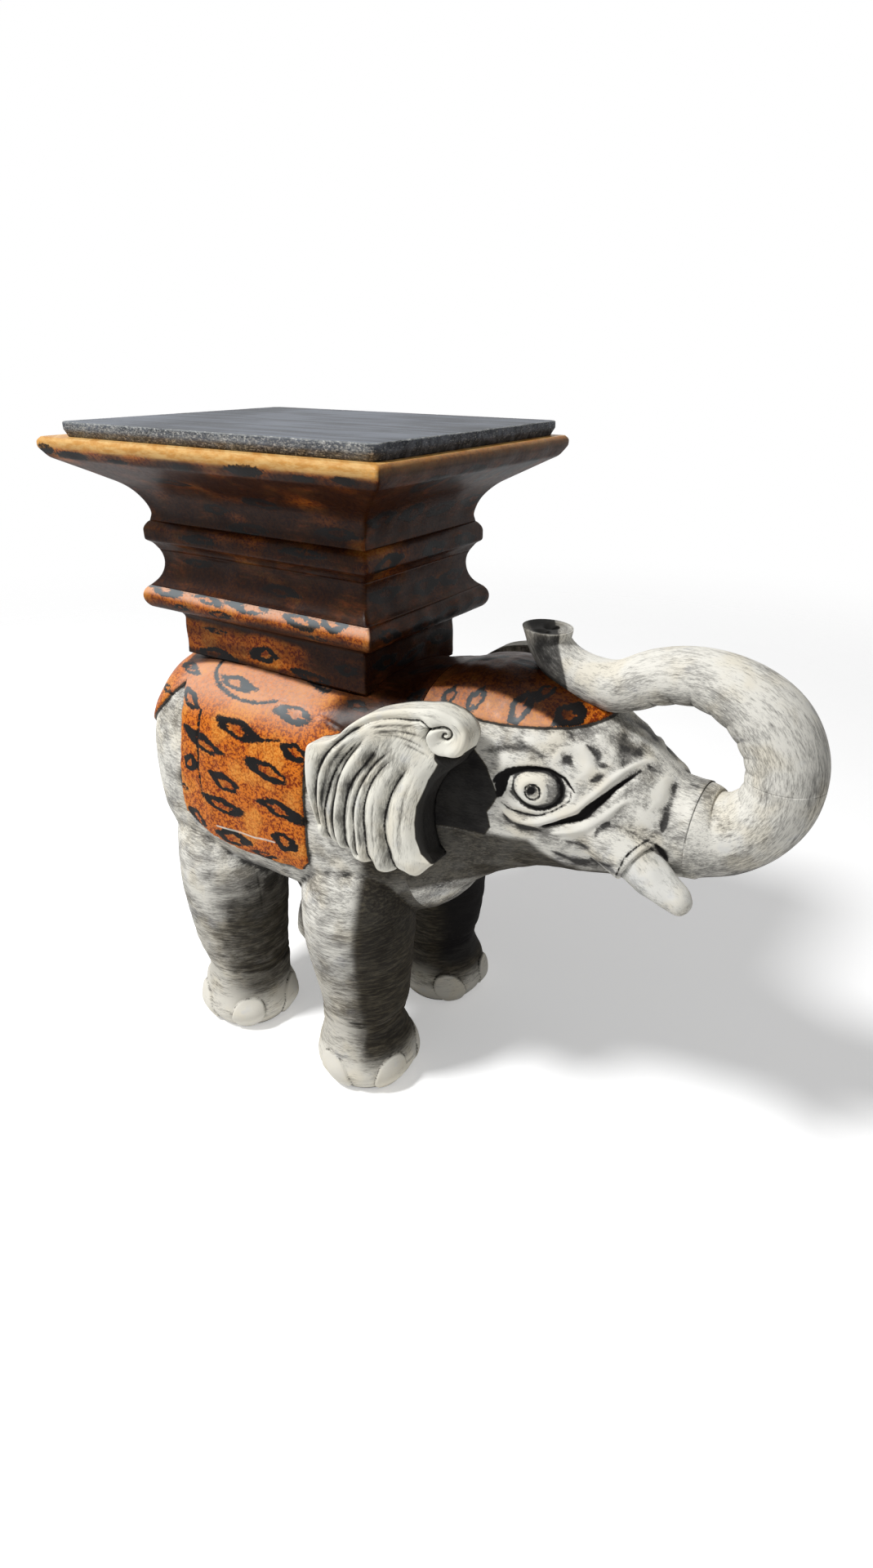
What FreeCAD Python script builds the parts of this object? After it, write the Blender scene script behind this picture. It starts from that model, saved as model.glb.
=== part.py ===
import FreeCAD
import Part
import math
import os

# Carved elephant stool, glued up from wooden blocks: an elephant with its trunk curled back
# on to its forehead, a moulded pedestal on the saddle and a thin board on top.
# X runs to the head, Y to the elephant's left, Z up. Lengths are in millimetres.

Vec = FreeCAD.Vector

# Heights, from the floor up
leg_height = 105.0           # floor to the glue joint on top of each leg
body_depth = 194.0           # leg joint to the flat saddle seat
plinth_height = 30.0
torus_height = 19.0
neck_height = 24.0
band_height = 19.0
cornice_height = 53.0
board_thickness = 9.0

# Pedestal, in plan
plinth_length = 161.0
plinth_width = 102.6
torus_projection = 18.4
band_projection = 14.4
cornice_projection = 54.4
plinth_flare = 3.0
moulding_step = 7.8

# Board
board_length = 247.0
board_width = 199.0
board_corner = 5.0
board_undercut = 2.0
board_arris = 0.9
board_edge = 4.5             # thickness of the square upper part of its edge
board_shift_x = 4.0
board_shift_y = 1.8

# Body and head
body_length = 239.5
body_width = 177.0
rump_reach = 121.5           # pedestal centre to the flat of the rump
head_length = 167.0          # neck joint to the root of the trunk
core_width = 136.0           # middle block of the body, between the flank blocks
blanket_relief = 2.6
cloth_relief = 1.8
seat_clearance = 0.2

# Legs
foot_radius = 38.0
front_foot_share = 0.8246    # feet, along the body from the rump
left_front_setback = 7.0     # the left front leg stands a little further back
rear_foot_share = 0.311
foot_spread = 57.0           # middle plane to the middle of each foot
haunch_height = 92.0         # how far the top of each leg runs up into the body

# Trunk
trunk_reach = 58.0
trunk_rise = 92.0
trunk_root_radius = 29.5
trunk_tip_radius = 15.0

# Ear
ear_length = 110.2
ear_height = 124.0
ear_proud = 5.5              # ribs' ground beyond the flank
ear_thickness = 15.0
ear_lean = 20.0              # how far the ear closes in on the neck at its front
rib_count = 7
rib_depth = 2.8
scroll_radius = 12.0
scroll_drum = 20.0
scroll_turns = 1.6
scroll_groove = 1.5

# Eye
eye_length = 31.0
eye_height = 20.0
eyeball_radius = 9.6
pupil_radius = 2.7
pupil_depth = 4.0
eye_turn_deg = 11.0
lid_thickness = 2.4

# Tusk
tusk_length = 40.0
tusk_radius = 13.6
tusk_socket_depth = 16.0
tusk_peg_side = 9.0
tusk_gum = 2.2               # wall of the sheath round the tusk

# Tail
tail_length = 112.0
tail_radius = 6.0

# Square pegs in the glue joints
peg_side = 12.0
peg_clearance = 0.1
peg_bite = 24.0              # how far a peg goes into each block
small_peg_side = 8.0
small_peg_bite = 12.0
board_peg_bite = 5.0

overrun = 40.0               # extra length of every cutting tool

saddle_height = leg_height + body_depth
band_top = saddle_height + plinth_height + torus_height + neck_height + band_height
cornice_top = band_top + cornice_height
total_height = cornice_top + board_thickness

rump_x = -rump_reach
neck_x = rump_x + body_length
root_x = neck_x + head_length
front_foot_x = rump_x + front_foot_share * body_length
rear_foot_x = rump_x + rear_foot_share * body_length
body_half = body_width / 2

# Pedestal profiles, from the face of the plinth out and from the block's base up, in shares of the
# block's projection and height: two numbers for a straight run, four for an arc through a point
plinth_shares = ((0, 0.80), (0.3, 0.93, 1, 1))
torus_shares = ((0.814, 0.22), (1, 0.56, 0.76, 1))
neck_shares = ((0.80, 0.62, 1, 1),)
band_shares = ((0.77, 0.26), (1, 0.35), (1, 0.70), (0.92, 0.86, 0.72, 1))
cornice_shares = ((0.175, 0.08), (0.237, 0.275, 0.42, 0.475), (0.92, 0.767), (1, 0.887), (1, 0.958), (0.96, 1))
pedestal_blocks = (
    ("plinth", plinth_height, plinth_flare, plinth_shares),
    ("lower_torus", torus_height, torus_projection, torus_shares),
    ("neck_block", neck_height, moulding_step, neck_shares),
    ("upper_band", band_height, band_projection, band_shares),
    ("cornice", cornice_height, cornice_projection, cornice_shares),
)

# Body sections, from rump to neck: place along the body, half width, underside, top, squareness
body_section_shares = (
    (0.00, 0.36, 0.632, 0.836, 2.2),
    (0.016, 0.56, 0.559, 0.893, 2.3),
    (0.062, 0.79, 0.478, 0.946, 2.5),
    (0.152, 0.93, 0.441, 0.987, 2.8),
    (0.31, 1.00, 0.452, 1.007, 3.1),
    (0.51, 1.01, 0.465, 1.010, 3.2),
    (0.70, 0.99, 0.455, 1.008, 3.0),
    (0.86, 0.91, 0.435, 1.017, 2.7),
)

# Head sections, from the neck joint to the trunk root
head_section_shares = (
    (0.00, 0.77, 0.458, 1.047, 2.4),
    (0.13, 0.69, 0.538, 1.070, 2.3),
    (0.28, 0.64, 0.604, 1.080, 2.3),
    (0.46, 0.605, 0.654, 1.058, 2.3),
    (0.64, 0.54, 0.670, 1.013, 2.2),
    (0.80, 0.43, 0.685, 0.960, 2.1),
    (0.92, 0.36, 0.709, 0.916, 2.0),
)
head_last_share = 1.0

# Leg sections, floor to haunch: height, radius along X, radius along Y, shift along X, shift outwards
leg_foot_shares = (
    (0.00, 0.78, 0.78, 0.00, 0.00),
    (0.05, 0.88, 0.88, 0.00, 0.00),
    (0.15, 0.99, 0.99, 0.00, 0.00),
    (0.29, 0.91, 0.90, -0.02, 0.00),
)
front_leg_shares = (
    (0.46, 0.79, 0.79, -0.06, 0.00),
    (0.68, 0.86, 0.86, -0.03, 0.00),
    (1.00, 1.00, 0.98, -0.08, 0.00),
)
front_haunch_shares = (
    (0.30, 1.10, 1.00, -0.13, -0.03),
    (0.62, 1.08, 0.96, -0.16, -0.12),
    (1.00, 0.80, 0.70, -0.16, -0.30),
)
rear_leg_shares = (
    (0.46, 0.82, 0.84, 0.08, 0.00),
    (0.68, 0.92, 0.93, -0.03, 0.00),
    (1.00, 1.06, 1.02, -0.12, -0.04),
)
rear_haunch_shares = (
    (0.30, 1.14, 1.02, -0.19, -0.08),
    (0.62, 1.14, 0.96, -0.24, -0.16),
    (1.00, 0.84, 0.70, -0.24, -0.32),
)

front_toenail_angles_deg = (-95.0, -25.0, 45.0)
rear_toenail_angles_deg = (-120.0, -50.0, 20.0)
toenail_size_shares = (0.18, 0.34, 0.33)
toenail_height_share = 0.38
toenail_reach_share = 0.89
boss_shares = ((-0.2, 1.0), (0.35, 0.93), (0.75, 0.66), (0.97, 0.24))

# Blanket and head cloth, as side-view outlines in shares of the body length and the saddle height
blanket_outline_shares = (
    (0.735, 0.575),
    (0.36, 0.575),
    (0.31, 0.595),
    (0.28, 0.635),
    (0.272, 0.69),
    (0.272, 0.943),
    (0.05, 0.811),
    (-0.2, 0.744),
    (-0.2, 1.4),
    (0.735, 1.4),
)
cloth_outline_shares = (
    (0.735, 0.985),
    (0.90, 1.000),
    (1.10, 1.004),
    (1.30, 1.005),
    (1.50, 1.014),
    (1.50, 1.4),
    (0.735, 1.4),
)

# Trunk: along X and up from the root in shares of reach and rise, radius between root and tip
trunk_curve_shares = (
    (0.00, 0.00, 1.00),
    (0.28, 0.03, 0.68),
    (0.53, 0.15, 0.52),
    (0.69, 0.34, 0.46),
    (0.69, 0.58, 0.48),
    (0.51, 0.79, 0.47),
    (0.20, 0.93, 0.32),
    (-0.20, 0.99, 0.16),
)
# Seated end of the trunk: place along the head, height over the forehead and size in tip radii
trunk_seat_shares = (
    (0.655, 1.24, 1.08),
    (0.515, 1.02, 1.02),
    (0.400, 1.08, 1.08),
    (0.362, 1.80, 0.95),
)
trunk_joint_share = 0.46

# Ear: stations across the ribs in shares of its length and height, rear end then front end
ear_place_shares = (0.517, 0.676)
ear_dip_share = 0.51          # fall of the ear towards the front, in shares of its lean
ear_station_shares = (
    ((0.86, 1.02), (0.81, 0.75)),
    ((0.58, 0.97), (0.78, 0.68)),
    ((0.26, 0.81), (0.75, 0.58)),
    ((-0.01, 0.61), (0.73, 0.46)),
    ((-0.03, 0.38), (0.72, 0.32)),
    ((0.00, 0.18), (0.75, 0.18)),
    ((0.05, -0.10), (0.80, 0.00)),
)
ear_crown_shares = (
    (0.02, 0.58),
    (0.195, 0.67),
    (0.30, 0.766),
    (0.43, 0.855),
    (0.59, 0.915),
    (0.715, 0.94),
    (0.86, 0.96),
    (0.95, 0.94),
    (0.985, 0.89),
    (0.97, 0.82),
    (0.94, 0.77),
)
ear_front_shares = ((0.82, 0.73), (0.715, 0.41), (0.79, 0.15))
ear_foot_shares = (0.12, 0.06)
ear_rear_shares = ((0.03, 0.22), (0.00, 0.38))
ear_root_shares = ((0.28, 0.56), (0.36, 0.72), (0.60, 0.86), (0.80, 0.88), (0.84, 0.76), (0.60, 0.58))
scroll_place_shares = (0.876, 0.852)
scroll_reach_shares = (0.12, 0.92)
rib_fullness = 0.8
scallop_share = 0.22

# Eye and tusk: places in shares of the head length, the saddle height and the half width there
eye_place_shares = (0.497, 0.890)
eye_out_share = 1.0
lid_shares = ((-1.0, 1.15), (0.0, 1.0), (0.6, 0.86))
lid_point = 1.2              # how pointed the corners of the eye are
eye_step_shares = (2.0, 1.0, 2.4)
tusk_place_shares = (0.852, 0.766)
tusk_spread_share = 0.36
tusk_splay_share = 0.14
tusk_droop_share = 0.54
tusk_profile_shares = ((0, 1.00), (0.28, 0.92), (0.52, 0.80), (0.78, 0.66), (0.93, 0.47), (1.0, 0.22))
sheath_profile_shares = ((-1.3, 1.24), (-0.7, 1.14), (-0.25, 1.05), (0, 1.0))
tail_top_share = 0.84
tail_profile_shares = (
    (0.05, 0, 1.0),
    (-0.45, 0.10, 1.15),
    (-0.60, 0.35, 0.95),
    (-0.45, 0.62, 0.85),
    (-0.40, 0.80, 1.4),
    (-0.45, 0.92, 1.2),
    (-0.45, 1.0, 0.5),
)

# Pegs: places in shares of the block they hold
pedestal_peg_share = 0.28
slab_peg_share = 0.30
leg_peg_shares = (0.42, 0.18)
flank_peg_shares = (0.30, 0.62, 0.52)
head_peg_shares = (0.34, 0.78)
ear_peg_shares = ((0.30, 0.30), (0.30, 0.58))

rib_facets = 4               # facets across each rib
scroll_sides = 16
corner_steps = 3             # facets round each corner of the board
lid_sides = 16
body_sides = 28              # points round the body and head
limb_sides = 18              # points round a leg
tube_sides = 14              # points round the trunk
small_sides = 10             # points round the tusks, tail and nails


def row_at(rows, share):
    # Straight-line reading of a table of sections at one place along it
    for lower, upper in zip(rows, rows[1:]):
        if share <= upper[0]:
            break
    part = (share - lower[0]) / (upper[0] - lower[0])
    return [a + (b - a) * part for a, b in zip(lower, upper)]


def eased(rows):
    # Adds one row halfway between each two, on a smooth curve through their neighbours
    finer = []
    for index in range(len(rows) - 1):
        before = rows[max(index - 1, 0)]
        lower, upper = rows[index], rows[index + 1]
        after = rows[min(index + 2, len(rows) - 1)]
        middle = [(9 * (b + c) - a - d) / 16 for a, b, c, d in zip(before, lower, upper, after)]
        middle[0] = (lower[0] + upper[0]) / 2
        finer += [lower, tuple(middle)]
    return finer + [rows[-1]]


def flat_face(points):
    return Part.Face(Part.makePolygon(list(points) + [points[0]]))


def skin(rings):
    # Closed solid through rings of points, with flat ends
    faces = [flat_face(rings[0]), flat_face(rings[-1])]
    for lower, upper in zip(rings, rings[1:]):
        count = len(lower)
        for here in range(count):
            there = (here + 1) % count
            faces.append(flat_face((lower[here], lower[there], upper[there])))
            faces.append(flat_face((lower[here], upper[there], upper[here])))
    shell = Part.makeShell(faces)
    shell.sewShape()
    solid = Part.Solid(shell)
    if solid.Volume < 0:
        solid.reverse()
    return solid


def prism(points, direction):
    return flat_face(points).extrude(direction)


def block(x_low, x_high, y_low, y_high, z_low, z_high):
    return Part.makeBox(x_high - x_low, y_high - y_low, z_high - z_low, Vec(x_low, y_low, z_low))


def angles(count):
    return [2 * math.pi * (index + 0.5) / count for index in range(count)]


def ring_round(centre, along, size_across, size_up, count):
    # Oval of points about a centre, square to a direction
    level = Vec(1, 0, 0) if abs(along.y) > abs(along.x) + abs(along.z) else Vec(0, 1, 0)
    across = (level - along * level.dot(along)).normalize()
    up = along.cross(across)
    return [centre + across * (size_across * math.cos(a)) + up * (size_up * math.sin(a))
            for a in angles(count)]


def mirrored(shape):
    return shape.mirror(Vec(0, 0, 0), Vec(0, 1, 0))


def dome(centre, along, radius, depth):
    # Low rounded boss that stands on a flat round foot
    rings = []
    for reach, size in boss_shares:
        rings.append(ring_round(centre + along * (reach * depth), along, radius[0] * size,
                                radius[1] * size, small_sides))
    return skin(rings)


# Pedestal: each block is its side moulding run along X, met by its end moulding run along Y

def moulding_face(half, segments, along_x):
    def place(offset, z):
        if along_x:
            return Vec(half + offset, 0, z)
        return Vec(0, half + offset, z)

    def mirror_place(offset, z):
        point = place(offset, z)
        return Vec(-point.x, -point.y, z)

    edges = []
    for side in (place, mirror_place):
        here = side(*segments[0])
        for segment in segments[1:]:
            if len(segment) == 2:
                there = side(*segment)
                edges.append(Part.LineSegment(here, there).toShape())
            else:
                middle = side(segment[0], segment[1])
                there = side(segment[2], segment[3])
                edges.append(Part.Arc(here, middle, there).toShape())
            here = there
    bottom, top = segments[0][-2:], segments[-1][-2:]
    edges.append(Part.LineSegment(place(*bottom), mirror_place(*bottom)).toShape())
    edges.append(Part.LineSegment(place(*top), mirror_place(*top)).toShape())
    return Part.Face(Part.Wire(Part.__sortEdges__(edges)))


def moulded_block(segments):
    reach = cornice_projection + overrun
    side_half = plinth_width / 2 + reach
    end_half = plinth_length / 2 + reach
    side = moulding_face(plinth_length / 2, segments, True)
    side.translate(Vec(0, -side_half, 0))
    end = moulding_face(plinth_width / 2, segments, False)
    end.translate(Vec(-end_half, 0, 0))
    run_y = side.extrude(Vec(0, 2 * side_half, 0))
    run_x = end.extrude(Vec(2 * end_half, 0, 0))
    return run_y.common(run_x)


def pedestal():
    blocks = {}
    start, base = 0, saddle_height
    for name, height, projection, shares in pedestal_blocks:
        segments = [(start, base)]
        for row in shares:
            segments.append([base + value * height if index % 2 else value * projection
                             for index, value in enumerate(row)])
        blocks[name] = moulded_block(segments)
        start, base = segments[-1][-2:]
    return blocks


def rounded_rectangle(length, width, corner, z):
    points = []
    for sx, sy, start in ((1, 1, 0), (-1, 1, 1), (-1, -1, 2), (1, -1, 3)):
        centre = Vec(sx * (length / 2 - corner), sy * (width / 2 - corner), z)
        for step in range(corner_steps + 1):
            angle = math.pi / 2 * (start + step / corner_steps)
            points.append(centre + Vec(corner * math.cos(angle), corner * math.sin(angle), 0))
    return points


def top_slab():
    rings = (
        (board_undercut, cornice_top),
        (0, total_height - board_edge),
        (0, total_height - board_arris),
        (board_arris, total_height),
    )
    board = skin([rounded_rectangle(board_length - 2 * inset, board_width - 2 * inset, board_corner, z)
                  for inset, z in rings])
    board.translate(Vec(board_shift_x, board_shift_y, 0))
    return board


# Body and head: one hull of squared ovals, cut into blocks afterwards

def trunk_root_height():
    last = head_section_shares[-1]
    return (last[2] + last[3]) / 2 * saddle_height


def hull_rows():
    rows = []
    for share, half, low, high, square in body_section_shares:
        rows.append((rump_x + share * body_length, half * body_half,
                     low * saddle_height, high * saddle_height, square))
    for share, half, low, high, square in head_section_shares:
        rows.append((neck_x + share * head_length, half * body_half,
                     low * saddle_height, high * saddle_height, square))
    root_z = trunk_root_height()
    rows.append((root_x, trunk_root_radius, root_z - trunk_root_radius, root_z + trunk_root_radius, 2.0))
    return rows


def oval(x, half, low, high, square, proud):
    middle, rise = (low + high) / 2, (high - low) / 2 + proud
    points = []
    for angle in angles(body_sides):
        c, s = math.cos(angle), math.sin(angle)
        y = math.copysign(abs(c) ** (2 / square), c) * (half + proud)
        z = math.copysign(abs(s) ** (2 / square), s) * rise
        points.append(Vec(x, y, middle + z))
    return points


def hull(proud):
    return skin([oval(*row, proud) for row in eased(hull_rows())])


def leg(foot_x, lower_shares, haunch_shares):
    rows = [(z * leg_height, rx, ry, dx, dy) for z, rx, ry, dx, dy in leg_foot_shares + lower_shares]
    rows += [(leg_height + z * haunch_height, rx, ry, dx, dy) for z, rx, ry, dx, dy in haunch_shares]
    foot, upper = rows[:3], rows[3:]
    rings = []
    for z, size_x, size_y, shift_x, shift_y in foot + eased(upper):
        centre = Vec(foot_x + shift_x * foot_radius, foot_spread + shift_y * foot_radius, z)
        rings.append([centre + Vec(size_x * foot_radius * math.cos(a), size_y * foot_radius * math.sin(a), 0)
                      for a in angles(limb_sides)])
    return skin(rings)


def toenails(foot_x, angles_deg):
    nails = []
    size_out, size_side, size_up = [share * foot_radius for share in toenail_size_shares]
    for angle in angles_deg:
        nail = dome(Vec(toenail_reach_share * foot_radius - size_out, 0, toenail_height_share * foot_radius),
                    Vec(1, 0, 0), (size_side, size_up), size_out * 2)
        nail.rotate(Vec(0, 0, 0), Vec(0, 0, 1), -angle)
        nail.translate(Vec(foot_x, foot_spread, 0))
        nails.append(nail)
    return nails


def relief_panel(outline_shares, proud):
    # Raised cloth: the hull grown by its relief, kept inside a side-view outline
    reach = body_half + overrun
    outline = [Vec(rump_x + x * body_length, -reach, z * saddle_height) for x, z in outline_shares]
    return hull(proud).common(prism(outline, Vec(0, 2 * reach, 0)))


def peg(start, end, side):
    # Square peg along one axis, from one end's middle to the other's
    half = side / 2
    run = end - start
    grow = Vec(*[0 if abs(part) > 0 else half for part in run])
    low = Vec(min(start.x, end.x), min(start.y, end.y), min(start.z, end.z)) - grow
    high = Vec(max(start.x, end.x), max(start.y, end.y), max(start.z, end.z)) + grow
    return block(low.x, high.x, low.y, high.y, low.z, high.z)


def bored(shape, pegs):
    # Mortises a little wider than the pegs, cut where they cross this block
    holes = [peg(start, end, side + 2 * peg_clearance) for start, end, side in pegs]
    return shape.cut(Part.makeCompound(holes))


def both_sides(pegs):
    return pegs + [(Vec(a.x, -a.y, a.z), Vec(b.x, -b.y, b.z), side) for a, b, side in pegs]


def pedestal_pegs():
    pegs = []
    for side in (-1, 1):
        x = side * plinth_length * pedestal_peg_share
        pegs.append((Vec(x, 0, saddle_height - peg_bite), Vec(x, 0, band_top + peg_bite), peg_side))
    return pegs


def slab_pegs():
    pegs = []
    for sx in (-1, 1):
        for sy in (-1, 1):
            place = Vec(board_shift_x + sx * board_length * slab_peg_share,
                        board_shift_y + sy * board_width * slab_peg_share, 0)
            pegs.append((place + Vec(0, 0, cornice_top - 2 * board_peg_bite),
                         place + Vec(0, 0, cornice_top + board_peg_bite), small_peg_side))
    return pegs


def leg_pegs():
    pegs = []
    rows = ((front_foot_x, front_leg_shares, -1), (front_foot_x - left_front_setback, front_leg_shares, 1),
            (rear_foot_x, rear_leg_shares, -1), (rear_foot_x, rear_leg_shares, 1))
    for foot_x, shares, hand in rows:
        top_x = foot_x + shares[-1][3] * foot_radius
        y = hand * (foot_spread - foot_radius * leg_peg_shares[1])
        for side in (-1, 1):
            x = top_x + side * foot_radius * leg_peg_shares[0]
            pegs.append((Vec(x, y, leg_height - peg_bite), Vec(x, y, leg_height + peg_bite), peg_side))
    return pegs


def flank_pegs():
    pegs = []
    reach = core_width / 2 + small_peg_bite
    z = leg_height + body_depth * flank_peg_shares[2]
    for share in flank_peg_shares[:2]:
        x = rump_x + share * body_length
        pegs.append((Vec(x, -reach, z), Vec(x, reach, z), peg_side))
    return pegs


def head_pegs():
    y = body_half * head_peg_shares[0]
    z = saddle_height * head_peg_shares[1]
    return both_sides([(Vec(neck_x - peg_bite, y, z), Vec(neck_x + peg_bite, y, z), peg_side)])


def trunk_frame():
    # Centre line and radius of the trunk: a curl out from the root, then down on to the forehead
    rows = []
    root_z = trunk_root_height()
    for along, up, part in trunk_curve_shares:
        radius = trunk_tip_radius + (trunk_root_radius - trunk_tip_radius) * part
        rows.append((root_x + along * trunk_reach, root_z + up * trunk_rise, radius))
    for share, lift, size in trunk_seat_shares:
        seat = row_at(head_section_shares, share)[3] * saddle_height
        rows.append((neck_x + share * head_length, seat + lift * trunk_tip_radius, size * trunk_tip_radius))
    return rows


def trunk_tube():
    rows = trunk_frame()
    line = Part.BSplineCurve()
    places = [Vec(x, 0, z) for x, z, radius in rows]
    line.interpolate(Points=places)
    first, last = line.FirstParameter, line.LastParameter
    knots = [line.parameter(place) for place in places]
    radii = [(knot, radius) for knot, (x, z, radius) in zip(knots, rows)]
    stations = []
    for lower, upper in zip(knots, knots[1:]):
        stations += [lower, (lower + upper) / 2]
    stations.append(last)
    rings = []
    for station in stations:
        along = line.tangent(station)[0] if station > first else Vec(1, 0, 0)
        radius = row_at(radii, station)[1]
        rings.append(ring_round(line.value(station), along, radius, radius, tube_sides))
    return skin(rings)


def curl_joint():
    return Vec(root_x + trunk_curve_shares[3][0] * trunk_reach, 0,
               trunk_root_height() + trunk_joint_share * trunk_rise)


def trunk_pegs():
    root = Vec(root_x, 0, trunk_root_height())
    joint = curl_joint()
    return [
        (root - Vec(peg_bite, 0, 0), root + Vec(peg_bite, 0, 0), peg_side),
        (joint - Vec(0, 0, small_peg_bite), joint + Vec(0, 0, small_peg_bite), small_peg_side),
    ]


# Ear: ribs lofted from the scroll to the lower edge, then cut to the ear's outline

def ear_point(along, up, out=0):
    back, base = ear_place_shares
    height = base * saddle_height + up * ear_height - along * ear_lean * ear_dip_share
    return Vec(neck_x + (along - back) * ear_length, out, height)


def ear_ground(along):
    return body_half + ear_proud - ear_lean * along


def ribbed_station(rear, front):
    steps = rib_count * rib_facets
    outer = []
    for step in range(steps + 1):
        part = step / steps
        along = rear[0] + (front[0] - rear[0]) * part
        up = rear[1] + (front[1] - rear[1]) * part
        lobe = abs(math.sin(math.pi * rib_count * part)) ** rib_fullness
        outer.append(ear_point(along, up, -(ear_ground(along) + rib_depth * lobe)))
    back_front = outer[-1] + Vec(0, ear_thickness, 0)
    back_rear = outer[0] + Vec(0, ear_thickness, 0)
    return outer + [back_front, back_rear]


def arc_points(start, middle, end, count):
    arc = Part.Arc(start, middle, end)
    first, last = arc.FirstParameter, arc.LastParameter
    return [arc.value(first + (last - first) * step / count) for step in range(1, count + 1)]


def ear_outline():
    # Crown and scroll, hollow front edge, one scallop for each rib along the foot, rear edge
    points = [ear_point(*share) for share in ear_crown_shares]
    front = [ear_point(*share) for share in ear_front_shares]
    points += [front[0]] + arc_points(*front, rib_count)
    start, end = front[-1], ear_point(*ear_foot_shares)
    step = (end - start) / rib_count
    for index in range(rib_count):
        here, there = start + step * index, start + step * (index + 1)
        low = (here + there) / 2 - Vec(0, 0, step.Length * scallop_share)
        points += arc_points(here, low, there, rib_facets - 1)
    return points + [ear_point(*share) for share in ear_rear_shares]


def scroll():
    centre = ear_point(*scroll_place_shares)
    face = ear_ground(scroll_place_shares[0]) + rib_depth
    rim = [centre + Vec(scroll_radius * math.cos(a), -face, scroll_radius * math.sin(a))
           for a in angles(scroll_sides)]
    drum = prism(rim, Vec(0, scroll_drum, 0))
    inner, outer = [], []
    steps = round(scroll_sides * scroll_turns)
    start, end = scroll_reach_shares
    for step in range(steps + 1):
        part = step / steps
        angle = 2 * math.pi * scroll_turns * part + math.pi / 2
        reach = scroll_radius * (start + (end - start) * part)
        direction = Vec(math.cos(angle), 0, math.sin(angle))
        inner.append(centre + direction * (reach - scroll_groove / 2) - Vec(0, face + scroll_groove, 0))
        outer.append(centre + direction * (reach + scroll_groove / 2) - Vec(0, face + scroll_groove, 0))
    groove = prism(inner + outer[::-1], Vec(0, 2 * scroll_groove, 0))
    return drum.cut(groove)


def ear_root():
    # Solid root under the crown that carries the fan on the neck
    depth = ear_ground(1) - ear_thickness / 2
    outline = [ear_point(along, up, -depth) for along, up in ear_root_shares]
    return prism(outline, Vec(0, depth - core_width / 4, 0))


def ear(carrier):
    ribs = skin([ribbed_station(rear, front) for rear, front in ear_station_shares])
    reach = body_half + ear_proud + overrun
    outline = [Vec(p.x, -reach, p.z) for p in ear_outline()]
    fan = ribs.common(prism(outline, Vec(0, reach, 0)))
    return fan.fuse(ear_root()).fuse(scroll()).cut(carrier).removeSplitter()


def ear_pegs():
    pegs = []
    for along, up in ear_peg_shares:
        place = ear_point(along, up)
        depth = ear_ground(along) - ear_thickness / 2
        pegs.append((Vec(place.x, -depth, place.z), Vec(place.x, -depth + peg_bite, place.z), small_peg_side))
    return both_sides(pegs)


def largest(shape):
    return max(shape.Solids, key=lambda solid: solid.Volume)


def eye_centre():
    share, up = eye_place_shares
    half = row_at(head_section_shares, share)[1] * body_half
    return Vec(neck_x + share * head_length, -half * eye_out_share, up * saddle_height)


def lens(centre, half_length, half_height, depth):
    # Pointed oval prism with bevelled edges: a lid rim or the hollow inside it
    rings = []
    for reach, size in lid_shares:
        ring = []
        for angle in angles(lid_sides):
            c, s = math.cos(angle), math.sin(angle)
            ring.append(centre + Vec(size * half_length * c, -reach * depth,
                                     size * half_height * math.copysign(abs(s) ** lid_point, s)))
        rings.append(ring)
    return skin(rings)


def carve_eye(head):
    centre = Vec()
    half_length, half_height = eye_length / 2, eye_height / 2
    lid_depth, sink, ball_depth = [share * lid_thickness for share in eye_step_shares]
    outward = Vec(0, -1, 0)
    rim = lens(centre, half_length + lid_thickness, half_height + lid_thickness, lid_depth)
    socket = lens(centre + outward * sink, half_length, half_height, lid_depth)
    ball = dome(centre - outward * sink, outward, (eyeball_radius, eyeball_radius), ball_depth)
    front = centre + outward * ball_depth
    pupil = dome(front - outward * pupil_depth, outward, (pupil_radius, pupil_radius), 2 * pupil_depth)
    for piece in (rim, socket, ball, pupil):
        piece.rotate(centre, Vec(0, 0, 1), eye_turn_deg)
        piece.translate(eye_centre())
    return head.fuse(rim).cut(socket).fuse(ball).cut(pupil)


def tusk_axis():
    share, up = tusk_place_shares
    base = Vec(neck_x + share * head_length, -body_half * tusk_spread_share, up * saddle_height)
    return base, Vec(1, -tusk_splay_share, -tusk_droop_share).normalize()


def tusk_run(profile_shares, radius):
    base, along = tusk_axis()
    return skin([ring_round(base + along * (share * tusk_length), along, radius * size, radius * size,
                            small_sides + 2) for share, size in profile_shares])


def tusk_peg(side, depth, lead):
    base, along = tusk_axis()
    across = (Vec(0, 1, 0) - along * along.y).normalize()
    up = along.cross(across)
    start = base - along * depth
    corners = [start + across * (side / 2 * a) + up * (side / 2 * b) for a, b in ((1, 1), (-1, 1), (-1, -1), (1, -1))]
    return prism(corners, along * (depth + lead))


def tusk():
    return tusk_run(tusk_profile_shares, tusk_radius).fuse(tusk_peg(tusk_peg_side, tusk_socket_depth, 0))


def tail():
    top_z = tail_top_share * saddle_height
    points = [Vec(rump_x + x * tail_radius * 2, 0, top_z - z * tail_length) for x, z, size in tail_profile_shares]
    line = Part.BSplineCurve()
    line.interpolate(Points=points)
    rings = []
    for point, (x, z, size) in zip(points, tail_profile_shares):
        along = line.tangent(line.parameter(point))[0]
        rings.append(ring_round(point, along, tail_radius * size, tail_radius * size, small_sides))
    return skin(rings)


def tail_pegs():
    z = tail_top_share * saddle_height - tail_radius * 2
    return [(Vec(rump_x - tail_radius / 2, 0, z), Vec(rump_x + peg_bite, 0, z), small_peg_side / 2)]


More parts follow.
